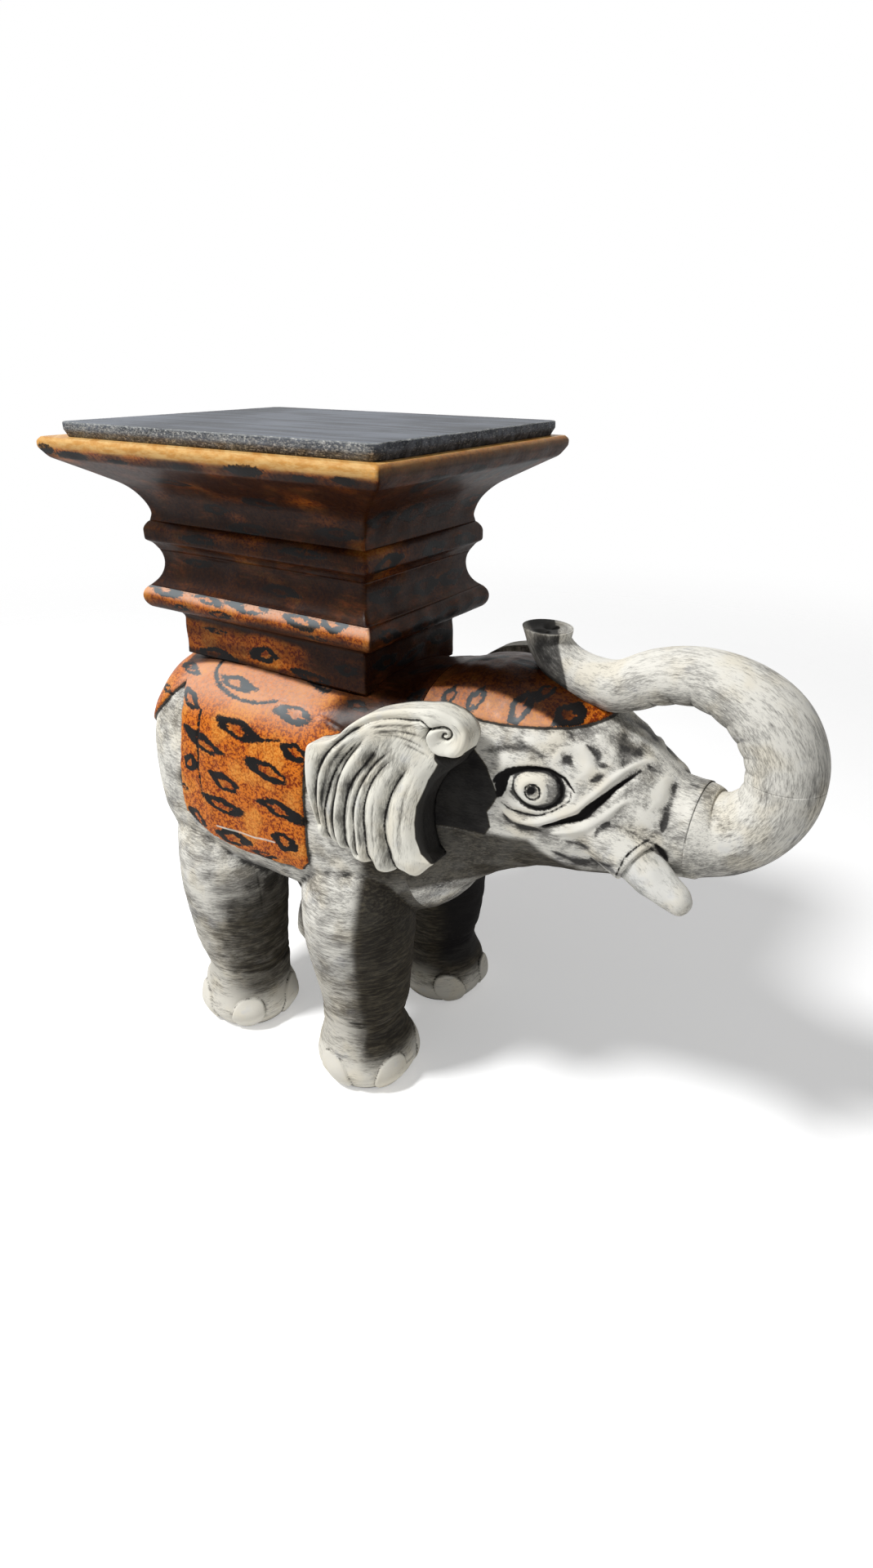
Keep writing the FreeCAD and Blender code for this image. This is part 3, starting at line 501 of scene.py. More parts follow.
def leopardMaterial(name, leopard):
    material, w, shader = newMaterial(name)
    coat = groupNode(w, leopard, {"Place": placeInMillimetres(w), "Flow": readMark(w, "flow", "Vector"),
                                  "Hollow": readMark(w, "hollow"), "Ink": readMark(w, "ink"),
                                  "Heart": readMark(w, "heart"), "ShadowAndStain": readMark(w, "shadowAndStain"),
                                  "Honey": readMark(w, "honey"), "PaintedGlare": readMark(w, "paintedGlare")})
    w.feed(coat.outputs["Color"], shader.inputs["Base Color"])
    w.feed(coat.outputs["Roughness"], shader.inputs["Roughness"])
    shader.inputs["Specular IOR Level"].default_value = 0.08
    shader.inputs["Coat Weight"].default_value = 0.05
    shader.inputs["Coat Roughness"].default_value = 0.22
    bumped(w, shader, coat.outputs["Height"], 0.4, 0.0006)
    return material


def bodyMaterial(name, leopard, wash):
    # grey body with a painted cloth, parted along the outline kept in the mark "cloth"
    material, w, shader = newMaterial(name)
    place = placeInMillimetres(w)
    flow, hollow, ink = readMark(w, "flow", "Vector"), readMark(w, "hollow"), readMark(w, "ink")
    painted = groupNode(w, leopard, {"Place": place, "Flow": flow, "Hollow": hollow, "Ink": ink,
                                     "Heart": readMark(w, "heart"), "ShadowAndStain": readMark(w, "shadowAndStain"),
                                     "PaintedGlare": readMark(w, "paintedGlare")})
    grey = groupNode(w, wash, {"Flow": flow, "Place": place, "Hollow": hollow, "ToneAndShading": readMark(w, "toneAndShading"),
                               "PaintedShade": readMark(w, "paintedShade"), "Light": colour(0.84, 0.82, 0.75),
                               "Middle": colour(0.27, 0.26, 0.24), "Cover": 0.50, "Mottle": 0.42,
                               "Scale": 1.3})
    wobble = w.swing(w.noise(place, 0.4), 1.0)
    edge = w.math("ADD", readMark(w, "cloth"), wobble)
    inside = w.ramp(edge, -0.15, 0.15)
    inked = w.ramp(w.math("ADD", ink, w.math("MULTIPLY", wobble, 2.0)), -0.4, 0.4)
    body = w.mix(inked, grey.outputs["Color"], colour(0.010, 0.009, 0.009))
    both = w.mix(inside, body, painted.outputs["Color"])
    # a dark line just outside the cloth's edge, painted shade under its raised rim
    line = w.ramp(w.math("ABSOLUTE", w.math("SUBTRACT", edge, -0.4)), 0.85, 0.35, 0.0, 0.9)
    both = w.mix(line, both, colour(0.016, 0.013, 0.011))
    both = w.mix(w.ramp(readMark(w, "chalk"), -0.5, 0.3), both, colour(0.72, 0.68, 0.6))
    w.feed(both, shader.inputs["Base Color"])
    rough = w.put("Mix", {0: inside, 2: grey.outputs["Roughness"], 3: painted.outputs["Roughness"]},
                  data_type="FLOAT")
    w.feed(rough.outputs[0], shader.inputs["Roughness"])
    shader.inputs["Specular IOR Level"].default_value = 0.07
    w.feed(w.math("MULTIPLY", inside, 0.05), shader.inputs["Coat Weight"])
    shader.inputs["Coat Roughness"].default_value = 0.22
    height = w.put("Mix", {0: inside, 2: grey.outputs["Height"], 3: painted.outputs["Height"]},
                   data_type="FLOAT")
    bumped(w, shader, height.outputs[0], 0.45, 0.0007)
    return material


boardLook = {"black": (0.030, 0.034, 0.041), "paintedSheen": (0.135, 0.150, 0.178), "bare": (0.70, 0.70, 0.67),
             "chip": (0.24, 0.25, 0.25)}


def boardMaterial():
    # black stain rubbed thin, with a painted grey-blue sheen in streaks along the grain, pale where the
    # edge is worn
    material, w, shader = newMaterial("blackBoard")
    place = placeInMillimetres(w)
    grain = w.noise(place, 0.22, 6.0, 0.7, (0.05, 1.0, 1.0))
    cloud = w.noise(place, 0.014, 3.0, 0.5)
    base = w.mix(w.ramp(w.math("ADD", w.math("MULTIPLY", grain, 0.8), w.math("MULTIPLY", cloud, 0.4)),
                        0.48, 0.72),
                 colour(*boardLook["black"]), colour(*boardLook["paintedSheen"]))
    chips = w.noise(place, 0.8, 6.0, 0.85, (0.6, 0.6, 1.2))
    along = w.noise(place, 0.05, 3.0, 0.6)
    wearAndShade = w.math("ADD", readMark(w, "wearAndShade"), w.swing(along, 0.5))
    rubbed = w.ramp(w.math("ADD", wearAndShade, w.swing(chips, 3.6)), 0.40, 0.80)
    base = w.mix(rubbed, base, w.mix(w.ramp(chips, 0.52, 0.68), colour(*boardLook["chip"]),
                                     colour(*boardLook["bare"])))
    w.feed(base, shader.inputs["Base Color"])
    w.feed(w.math("ADD", w.math("MULTIPLY", grain, 0.2), 0.34), shader.inputs["Roughness"])
    shader.inputs["Specular IOR Level"].default_value = 0.07
    bumped(w, shader, w.math("SUBTRACT", grain, w.math("MULTIPLY", rubbed, 0.6)), 0.3, 0.0007)
    return material


def bareWoodMaterial():
    material, w, shader = newMaterial("bareWood")
    place = placeInMillimetres(w)
    grain = w.noise(place, 0.5, 5.0, 0.6, (1.0, 1.0, 0.12))
    w.feed(w.mix(w.ramp(grain, 0.35, 0.65), colour(0.50, 0.33, 0.17), colour(0.34, 0.20, 0.09)),
           shader.inputs["Base Color"])
    w.feed(w.ramp(grain, 0.2, 0.8, 0.5, 0.7), shader.inputs["Roughness"])
    bumped(w, shader, grain, 0.3, 0.0004)
    return material


brush = brushGroup()
wash = washGroup(brush)
leopard = leopardGroup(brush)
materials = {key: washMaterial(key + "Wash", wash, look) for key, look in washLook.items()}
materials["pedestal"] = leopardMaterial("pedestalPaint", leopard)
materials["body"] = bodyMaterial("bodyPaint", leopard, wash)
materials["board"] = boardMaterial()
bareWood = bareWoodMaterial()
print("finishes made:", len(bpy.data.materials))


# pedestal: five moulded blocks, each swept round a rectangle with eased corners

pedestal = {
    "halfLong": 80.5, "halfWide": 51.3, "corner": 2.2, "step": 2.0, "wave": 0.45,
    "plinth": [(0, 299), (0, 323), ("arc", (0.9, 326.9), (3, 329))],
    "lower_torus": [(3, 329), (15, 333.2), ("arc", (18.4, 339.6), (14, 348))],
    "neck_block": [(14, 348), ("arc", (6.2, 362.9), (7.8, 372))],
    "upper_band": [(7.8, 372), (11.1, 376.9), (14.4, 378.7), (14.4, 385.3),
                   ("arc", (13.2, 388.3), (10.4, 391))],
    "cornice": [(10.4, 391), (9.5, 395.2), ("arc", (12.9, 405.6), (22.8, 416.2)), (50, 431.7), (54.4, 438),
                (54.4, 441.8), (52.2, 444)],
}


def arcThrough(a, b, c, count):
    a, b, c = (np.array(p, float) for p in (a, b, c))
    ax, ay, bx, by, cx, cy = *a, *b, *c
    d = 2 * (ax * (by - cy) + bx * (cy - ay) + cx * (ay - by))
    ux = ((a @ a) * (by - cy) + (b @ b) * (cy - ay) + (c @ c) * (ay - by)) / d
    uy = ((a @ a) * (cx - bx) + (b @ b) * (ax - cx) + (c @ c) * (bx - ax)) / d
    centre = np.array([ux, uy])
    radius = np.linalg.norm(a - centre)
    turns = np.unwrap([math.atan2(*(p - centre)[::-1]) for p in (a, b, c)])
    at = np.concatenate([np.linspace(turns[0], turns[1], count // 2 + 1),
                         np.linspace(turns[1], turns[2], count // 2 + 1)[1:]])
    return np.stack([ux + radius * np.cos(at), uy + radius * np.sin(at)], 1)


def profileOf(parts, step):
    points = [np.array([parts[0]], float)]
    for part in parts[1:]:
        here = points[-1][-1]
        if part[0] == "arc":
            run = arcThrough(here, part[1], part[2], 14)
        else:
            count = max(2, int(np.linalg.norm(np.array(part) - here) / step) + 1)
            run = np.linspace(here, part, count + 1)
        points.append(run[1:])
    points = np.vstack(points)
    # arrises of the moulding are rubbed round
    dense = []
    for a, b in zip(points, points[1:]):
        dense.append(np.linspace(a, b, 7)[:-1])
    dense = np.vstack(dense + [points[-1:]])
    soft = dense.copy()
    for _ in range(14):
        soft[1:-1] = (soft[:-2] + soft[1:-1] * 2 + soft[2:]) / 4
    gone = runLength(soft)
    at = np.linspace(0, gone[-1], max(6, int(gone[-1] / 1.1)))
    return np.stack([np.interp(at, gone, soft[:, k]) for k in range(2)], 1)


def rectangleLoop(halfX, halfY, corner, counts):
    loop = []
    for sx, sy, turn in ((1, 1, 0), (-1, 1, 1), (-1, -1, 2), (1, -1, 3)):
        for k in range(6):
            a = math.pi / 2 * (turn + k / 5)
            loop.append((sx * (halfX - corner) + corner * math.cos(a), sy * (halfY - corner)
                         + corner * math.sin(a)))
        a = loop[-1]
        b = {0: (-(halfX - corner), halfY), 1: (-halfX, -(halfY - corner)),
             2: (halfX - corner, -halfY), 3: (halfX, halfY - corner)}[turn]
        for k in range(1, counts[turn % 2]):
            t = k / counts[turn % 2]
            loop.append((a[0] + (b[0] - a[0]) * t, a[1] + (b[1] - a[1]) * t))
    return np.array(loop)


# painted rings of the pedestal that the photo shows on the right side:
# x, height, half length, half width, slope
pedestalSpots = {
    "plinth": [(-53, 302, 17.8, 5, 0), (-5, 310, 13.7, 5.5, 0.05), (35, 302, 17.5, 3.7, -0.09),
               (-49, 319, 11.9, 1.8, 0), (66, 313, 9, 4, 0)],
    "lower_torus": [(-77, 347, 17.4, 4.3, -0.05), (-36, 346.5, 13.2, 3.6, -0.11), (1, 347, 20.7, 4.6, 0),
                    (45, 345, 14.8, 5, -0.08),
                    (69, 347, 11.3, 5.2, -0.08), (-25, 338, 12, 2.4, 0), (-62, 337, 9, 2.4, 0),
                    (58, 336, 8, 2, 0)],
    "neck_block": [(-52, 366, 13.1, 3, 0), (20, 358, 15, 4, 0)],
    "upper_band": [(49, 386, 17.3, 2.8, 0), (-40, 384, 15, 3, 0)],
    "cornice": [(21, 412, 14, 5.4, -0.11), (1, 394, 18.7, 3.5, 0), (-24, 404, 11.8, 3.5, 0),
                (71, 399, 17.6, 3.7, 0), (-40, 421, 15, 5, -0.1)],
}


def sideSpots(name, profile, rng):
    # the photo's rings on the right side, and rings of the same kind round the other three
    halfX, halfY = pedestal["halfLong"], pedestal["halfWide"]
    spots = []

    def outAt(z):
        return float(np.interp(z, profile[:, 1], profile[:, 0]))

    for x, z, long, wide, slope in pedestalSpots[name]:
        tilt = outAt(z + 2) - outAt(z - 2)
        spots.append(((x, -(halfY + outAt(z)), z), (0, -4.0, -tilt), (1, 0, slope), long, wide,
                      int(abs(x) * 7 + z)))
    low, high = profile[0, 1] + 5, profile[-1, 1] - 5
    for side in (1, 2, 3):
        span = (halfY if side != 2 else halfX) + outAt((low + high) / 2)
        count = max(2, int(span / 17))
        rows = 2 if high - low > 30 else 1
        for row in range(rows):
            for k in range(count):
                t = (k + 0.5 + rng.uniform(-0.15, 0.15) + 0.25 * (row % 2)) / count * 2 - 1
                z = (low + high) / 2 if rows == 1 else low + (high - low) * (0.22 + 0.55 * row)
                z += rng.uniform(-2, 2)
                reach, out, slope = t * span * 0.92, outAt(z), rng.uniform(-0.15, 0.15)
                if side == 1:
                    centre, outward, along = (halfX + out, reach, z), (1, 0, 0), (0, 1, slope)
                elif side == 2:
                    centre, outward, along = (reach, halfY + out, z), (0, 1, 0), (1, 0, slope)
                else:
                    centre, outward, along = (-(halfX + out), reach, z), (-1, 0, 0), (0, 1, slope)
                spots.append((centre, outward, along, rng.uniform(12, 17), rng.uniform(4, 5.5),
                              int(rng.integers(1e6))))
    return spots


# black dabs on the lip of the cornice, right side: x, height, half length, half width
lipDabs = [(44, 435.5, 15, 3.2), (-8, 433.5, 8, 2.0), (-104, 434, 16, 2.6), (-126, 437, 8, 3.4),
           (84, 434, 9, 1.8), (-62, 433, 9, 1.6), (112, 435, 8, 2.2)]


def pedestalPaint(name, points, normals):
    # where painted shadow and stain, honey varnish and painted glare lie on a moulding
    z = points[:, 2]
    cloud = ripple(points, 52, 81) * 0.14 + ripple(points * [0.6, 1, 1.6], 19, 82) * 0.12
    # the face to the head is painted darker all over, as shade
    ahead = smoothStep(-1.0, 1.5, points[:, 0] - pedestal["halfLong"] - np.abs(points[:, 1])
                       + pedestal["halfWide"])
    shadowAndStain, honey, paintedGlare = np.zeros(len(z)), np.zeros(len(z)), np.zeros(len(z))
    if name == "cornice":
        # painted shade: the cove under the lip is dark
        shadowAndStain = (np.interp(z, [391, 415, 426, 432, 435.5, 438, 444],
                           [1.0, 1.0, 0.98, 0.93, 0.78, 0.18, 0.0]) + 0.95 * cloud * (z < 438))
        honey = smoothStep(435.5, 439, z + 3 * cloud)
        shadowAndStain = np.maximum(shadowAndStain,
                           ahead * np.interp(z, [391, 430, 438, 441, 443], [0.98, 0.97, 0.92, 0.72, 0.42]))
    elif name == "upper_band":
        # painted shadow of the cornice over the band
        shadowAndStain = 0.97 + cloud - 0.12 * (normals[:, 2] > 0.3)
    elif name == "neck_block":
        # painted shadow of the cornice over the neck
        shadowAndStain = 0.97 + cloud * 0.6
    elif name == "lower_torus":
        # painted glare on the lit top of the torus; its underside is painted dark as shade, and above the
        # top the cornice's shadow
        paintedGlare = smoothStep(0.05, 0.55, normals[:, 2]) * (1 - ahead) * (0.9 + cloud)
        shadowAndStain = (np.interp(z, [329, 331.5, 336, 340.5, 344.5], [1.0, 0.92, 0.72, 0.42, 0.02])
                 + 0.9 * np.maximum(cloud, 0) + 0.98 * ahead)
        shadowAndStain = np.where(z > 347.2, 1.0, shadowAndStain)
    else:
        # painted shade at the foot and the top of the plinth; it is also darker towards the head on the
        # right side
        shadowAndStain = (np.interp(z, [299, 301.5, 304, 320, 325, 327], [1.0, 0.9, 0.46, 0.50, 0.95, 1.0])
                 + 0.9 * cloud + 0.9 * ahead)
        shadowAndStain += 0.55 * smoothStep(5, 62, points[:, 0]) * (points[:, 1] < 0)
    return shadowAndStain.clip(0, 1), honey.clip(0, 1) * (1 - 0.45 * ahead), paintedGlare.clip(0, 1)


def buildPedestal():
    rng = np.random.default_rng(21)
    for name in ("plinth", "lower_torus", "neck_block", "upper_band", "cornice"):
        profile = profileOf(pedestal[name], pedestal["step"])
        last = pedestal[name][-1]
        profile[0], profile[-1] = pedestal[name][0], last[-1] if last[0] == "arc" else last
        reach = pedestal["halfLong"] + profile[:, 0].max(), pedestal["halfWide"] + profile[:, 0].max()
        counts = int(2 * reach[0] / pedestal["step"]), int(2 * reach[1] / pedestal["step"])
        loops = [rectangleLoop(pedestal["halfLong"] + out, pedestal["halfWide"] + out, pedestal["corner"],
                               counts) for out, z in profile]
        rings = [np.column_stack([loop, np.full(len(loop), z)]) for loop, (out, z) in zip(loops, profile)]
        points = np.vstack(rings)
        rows, columns = len(rings), len(rings[0])
        faces = gridFaces(rows, columns)
        normals = vertexNormals(points, faces)
        wave = ripple(points, 46, 5) * 0.6 + ripple(points, 17, 6) * 0.4
        row = np.repeat(np.linspace(0, 1, rows), columns)
        inner = smoothStep(0, 0.12, row) * smoothStep(1, 0.88, row)
        shift = normals * ((wave - 0.9) * pedestal["wave"] * inner)[:, None]
        shift[:, 2] = 0
        points = points + shift
        normals = vertexNormals(points, faces)
        ink, heart = spotInk(points, normals, sideSpots(name, profile, rng))
        hollow = hollowness(points, faces, 40)
        hollow[:columns] = hollow[-columns:] = 0
        if name == "cornice":
            for x, z, long, wide in lipDabs:
                size = np.hypot((points[:, 0] - x) / long, (points[:, 2] - z) / wide)
                ink = np.maximum(ink, np.where(points[:, 1] < -60, (1 - size) * wide, noInk))
        shadowAndStain, honey, paintedGlare = pedestalPaint(name, points, normals)
        flow = np.column_stack([points[:, 0] + points[:, 1], points[:, 2], np.zeros(len(points))])
        caps = endCaps(rows, columns)
        makePiece(name + ".carved", points, faces, [name], materials["pedestal"], caps,
                  {"ink": ink, "heart": heart, "hollow": hollow, "shadowAndStain": shadowAndStain, "honey": honey,
                   "paintedGlare": paintedGlare}, flow)
    print("pedestal made")


# board: thin, undercut, with a rubbed arris

board = {"length": 247.0, "width": 199.0, "centre": (4.0, 1.8), "bottom": 444.0, "top": 453.0,
         "corner": 5.0,
         "undercut": 2.0, "edge": 4.5, "arris": 1.1}


def buildBoard():
    halfX, halfY = board["length"] / 2, board["width"] / 2
    low, high = board["bottom"], board["top"]
    steps = [(board["undercut"] + 0.4, low), (board["undercut"], low + 0.4)]
    steps += [(board["undercut"] * (1 - t), low + 0.4 + (high - board["edge"] - low - 0.4) * t)
              for t in (0.35, 0.7, 1.0)]
    steps += [(0, high - board["edge"] * (1 - t)) for t in (0.25, 0.5)]
    for k in range(6):
        a = math.pi / 2 * k / 5
        steps.append((board["arris"] * (1 - math.cos(a)), high - board["arris"] * (1 - math.sin(a))))
    steps += [(inset, high) for inset in (2.5, 4.5, 7.5, 12.0, 18.0)]
    wearAndShade = [0.1, 0.35, 0.5, 0.55, 0.58, 0.6, 0.58, 0.56, 0.6, 0.8, 0.95, 0.7, 0.4, 0.12, 0.0, 0.0, 0.0, 0.0]
    rings = []
    for inset, z in steps:
        loop = rectangleLoop(halfX - inset, halfY - inset, board["corner"], (124, 100))
        rings.append(np.column_stack([loop, np.full(len(loop), z)]))
    points = np.vstack(rings)
    columns = len(rings[0])
    faces = gridFaces(len(rings), columns)
    normals = vertexNormals(points, faces)
    rim = (points[:, 2] < high - 0.2) & (points[:, 2] > low + 0.6)
    points[rim] -= normals[rim] * ((0.9 - ripple(points[rim], 9, 11)) * 0.22)[:, None] * [1, 1, 0]
    points[:, 2] -= np.where(points[:, 2] > high - 0.01, 0.12 + 0.1 * ripple(points, 60, 12), 0)
    points[:, :2] += board["centre"]
    points[:, 2] = np.minimum(points[:, 2], high)
    # the edge facing the head gets less wear, painted as shade
    wearAndShade = np.repeat(wearAndShade, columns) - 0.3 * smoothStep(0.4, 0.8, normals[:, 0]) * (normals[:, 2] < 0.5)
    caps = endCaps(len(rings), columns)
    piece = makePiece("top_slab.worn", points, faces, ["top_slab"], materials["board"],
                      caps, {"wearAndShade": wearAndShade})
    piece.data.polygons[len(piece.data.polygons) - 1].use_smooth = True
    print("board made")


# body and head: squared ovals down one axis, from rump to trunk root
# x, half width, underside, top, squareness

body = {
    "rows": [
        (-121.5, 31.9, 189, 250, 2.2), (-117.7, 49.6, 167.1, 267, 2.3), (-106.7, 69.9, 142.9, 282.9, 2.5),
        (-85.1, 82.3, 131.9, 295.1, 2.8), (-47.3, 88.5, 135.1, 301.1, 3.1), (0.6, 89.4, 139, 302, 3.2),
        (46.2, 87.6, 136, 301.4, 3.0), (84.5, 80.5, 130.1, 304.1, 2.7), (118, 68.1, 136.9, 313.1, 2.4),
        (139.7, 61.1, 160.9, 319.9, 2.3), (164.8, 56.6, 180.6, 322.9, 2.3),
             (194.8, 53.5, 195.5, 316.3, 2.3),
        (224.9, 47.8, 200.3, 302.9, 2.2), (251.6, 38.1, 204.8, 287, 2.1), (271.6, 31.9, 212, 273.9, 2.0),
        (285, 29.5, 213.4, 272.4, 2.0)],
    "neckAt": 118.0, "legJoint": 105.0, "flankAt": 68.0, "voxel": 1.25,
    "blanket": [(54.5, 176), (40, 178), (-10, 176), (-33, 180), (-47, 186), (-59, 193), (-61, 206),
                (-57, 236), (-55, 256),
                (-57, 272), (-66, 284), (-109.5, 242.5), (-169, 222.5), (-169, 420), (110, 420),
                (110, 298), (95, 286), (78, 275), (62, 265), (54.5, 258)],
    "blanketRelief": 2.4,
    "headCloth": [(94, 299), (142, 300.2), (168, 299), (193, 300), (214, 301), (228, 303), (238, 304),
                  (238, 420), (94, 420)],
    "clothRelief": 1.7,
    "boss": ((76, 158), (34, 36)),  # front haunch, which the blanket is cut round: middle, half sizes
}

hullDense = throughRows(body["rows"], 0, even=False)


def hullAt(x):
    return [np.interp(x, hullDense[:, 0], hullDense[:, k]) for k in range(1, 5)]


def hullRing(x, count):
    half, low, high, square = hullAt(x)
    a = np.linspace(-math.pi / 2, 1.5 * math.pi, 720, endpoint=False)
    c, s = np.cos(a), np.sin(a)
    ring = np.column_stack([np.sign(c) * np.abs(c) ** (2 / square) * half,
                            (low + high) / 2 + np.sign(s) * np.abs(s) ** (2 / square) * (high - low) / 2])
    ring = evenRing(ring, count)
    return np.column_stack([np.full(count, float(x)), ring])


legs = {
    "radius": 38.0, "front": 76.0, "leftFront": 69.0, "rear": -47.0, "spread": 57.0,
    "foot": [(0, .78, .78, 0, 0), (5.25, .88, .88, 0, 0), (15.75, .99, .99, 0, 0),
             (30.5, .91, .90, -.02, 0)],
    "frontRows": [(48.3, .79, .79, -.06, 0), (71.4, .86, .86, -.03, 0), (105, 1.00, .98, -.08, 0),
                  (132.6, 1.10, 1.00, -.13, -.03), (162, 1.08, .96, -.16, -.12),
                  (180, .98, .84, -.16, -.2), (197, .74, .60, -.16, -.30)],
    "rearRows": [(48.3, .82, .84, .08, 0), (71.4, .92, .93, -.03, 0), (105, 1.06, 1.02, -.12, -.04),
                 (132.6, 1.14, 1.02, -.19, -.08), (162, 1.14, .96, -.24, -.16),
                 (180, 1.03, .85, -.24, -.24), (197, .78, .62, -.24, -.32)],
    "frontNails": (-95, -25, 45), "rearNails": (-120, -50, 20), "strokes": (0.5, 0.14, 1),
        "nailWidth": 12.6, "nailHeight": 13.0, "nailProud": 2.6,
}


def legSection(z, rows):
    table = throughRows(legs["foot"] + rows, 0, even=False)
    return [np.interp(z, table[:, 0], table[:, k]) * legs["radius"] for k in range(1, 5)]


def legRings(rows, footX, hand, heights, count):
    rx, ry, dx, dy = (part[:, None] for part in legSection(heights, rows))
    a = np.linspace(0, 2 * math.pi, count, endpoint=False)
    return np.stack([footX + dx + rx * np.cos(a), hand * (legs["spread"] + dy) + ry * np.sin(a),
                     np.repeat(heights[:, None], count, 1)], -1)


limbList = [("front_right_leg", "frontRows", legs["front"], -1, "frontNails"),
            ("front_left_leg", "frontRows", legs["leftFront"], 1, "frontNails"),
            ("rear_right_leg", "rearRows", legs["rear"], -1, "rearNails"),
            ("rear_left_leg", "rearRows", legs["rear"], 1, "rearNails")]


def voxelUnion(shells, voxel):
    # closed shells melted into one skin
    mesh = bpy.data.meshes.new("rough")
    points, faces, base = [], [], 0
    for grid in shells:
        rows, columns = grid.shape[:2]
        points.append(grid.reshape(-1, 3))
        faces += (gridFaces(rows, columns) + base).tolist()
        faces += [list(range(base, base + columns))[::-1],
                  list(range(base + (rows - 1) * columns, base + rows * columns))]
        base += rows * columns
    mesh.from_pydata((np.vstack(points) / 1000).tolist(), [], faces)
    rough = bpy.data.objects.new("rough", mesh)
    bpy.context.scene.collection.objects.link(rough)
    fixed = bmesh.new()
    fixed.from_mesh(mesh)
    bmesh.ops.recalc_face_normals(fixed, faces=fixed.faces)
    fixed.to_mesh(mesh)
    fixed.free()
    remesh = rough.modifiers.new("remesh", "REMESH")
    remesh.mode = "VOXEL"
    remesh.voxel_size = voxel / 1000
    skin = rough.evaluated_get(bpy.context.evaluated_depsgraph_get()).to_mesh()
    co = np.zeros(len(skin.vertices) * 3, np.float32)
    skin.vertices.foreach_get("co", co)
    quads = np.array([tuple(p.vertices) if len(p.vertices) == 4 else (*p.vertices, p.vertices[2])
                      for p in skin.polygons])
    bpy.data.objects.remove(rough)
    bpy.data.meshes.remove(mesh)
    return co.reshape(-1, 3).astype(float) * 1000, quads


# rings on the cloth, right side: middle, way along, half length, half width
blanketSpots = [
    ((-1, -86, 269), (.99, -.01, -.12), 23.2, 5.7), ((-31, -90, 253), (.96, -.06, -.26), 18.5, 6.2),
    ((-46, -91, 235), (.91, -.04, -.42), 7.5, 6.6), ((-12, -92, 229), (.96, 0, -.27), 14.3, 6.6),
    ((-17, -92, 210), (1, 0, -.09), 19.2, 6.3), ((27, -90, 248), (.98, .04, -.22), 18, 6.6),
    ((36, -90, 222), (.98, .14, -.15), 18.9, 6.5), ((47, -85, 264), (.98, 0, -.1), 10, 6),
                ((38, -90, 198), (.99, .1, -.13), 11.7, 6.7),
    ((-12, -90, 185), (1, .01, -.01), 17.3, 6.9), ((-46, -90, 192), (.89, .03, -.45), 9.3, 6.9),
                ((-51, -79, 278), (.9, -.33, -.29), 11.9, 5.1),
    ((-68, -60, 290), (.94, -.35, 0), 11.9, 3.6), ((39, -74, 285), (.96, .19, -.23), 17.2, 5.5),
                ((-17, -67, 292), (.99, -.1, -.06), 19.4, 4.8),
    ((77, -55, 291), (1, .02, -.09), 8.9, 3.4), ((-56, -90, 213), (1, 0, 0), 4, 3),
                ((-85, -70, 276), (.91, -.41, -.08), 9, 3.1),
    ((16, -89, 180), (1, .02, .1), 10.6, 3.6), ((-74, -56, 291), (.94, -.31, .09), 12, 3.7),
]
clothSpots = [((135, -40, 307), (.2, .77, .6), 8.8, 4.3), ((154, -40, 308), (.19, .72, .67), 9.3, 5.3),
              ((182, -38, 309), (.19, .84, .51), 13.9, 5.8),
              ((208, -27, 306), (.27, .94, .22), 13.6, 7.1), ((190, -23, 316), (.34, .93, .15), 9.4, 3.7),
              ((112, -44, 304), (.5, .6, .5), 8, 4)]
blanketLines = [
    [(-45, 296), (-41, 292), (-31, 288), (-17, 285), (-4, 284), (8, 284.5), (22, 287)],
    [(-37, 273), (-36, 262), (-37, 248), (-38, 236), (-37, 225), (-36, 212)],
    [(6, 264), (21, 266), (34, 268)],
    [(30, 298), (35, 297), (49, 294.5), (52, 295)],
]
chalkLine = [(-26, 191.5), (-8, 192.5), (10, 193), (20, 195), (29, 195.5)]


def hullNormal(place):
    half, low, high, square = hullAt(place[0])
    rise = (place[2] - (low + high) / 2) / ((high - low) / 2)
    across = place[1] / half
    out = np.array([0, np.sign(across) * abs(across) ** (square - 1) / half,
                    np.sign(rise) * abs(rise) ** (square - 1) / (high - low) * 2])
    return out / np.linalg.norm(out)


def clothRings():
    spots = []
    rng = np.random.default_rng(8)
    for hand in (-1, 1):
        for place, way, long, wide in blanketSpots + clothSpots:
            jog = rng.uniform(-4, 4) if hand > 0 else 0
            middle = np.array([place[0] + jog, place[1] * -hand, place[2]])
            spots.append((middle, hullNormal(middle), (way[0], way[1] * -hand, way[2]), long, wide,
                          int(abs(place[0]) * 13 + place[2])))
    for x, y in ((140, 0), (172, -4), (205, 6), (-104, 22), (-108, -20), (-98, 50), (100, 20), (102, -14)):
        spots.append(((x, y, float(hullAt(x)[2])), (0, 0, 1), (1, 0.3, 0), 13, 6, int(abs(x) * 3 + y)))
    for y, z in ((-45, 262), (0, 262), (45, 262), (-22, 250), (22, 250)):
        spots.append(((-115, y, z), (-1, 0, 0.4), (0, 1, 0.3), 12, 6, int(z + y)))
    return spots


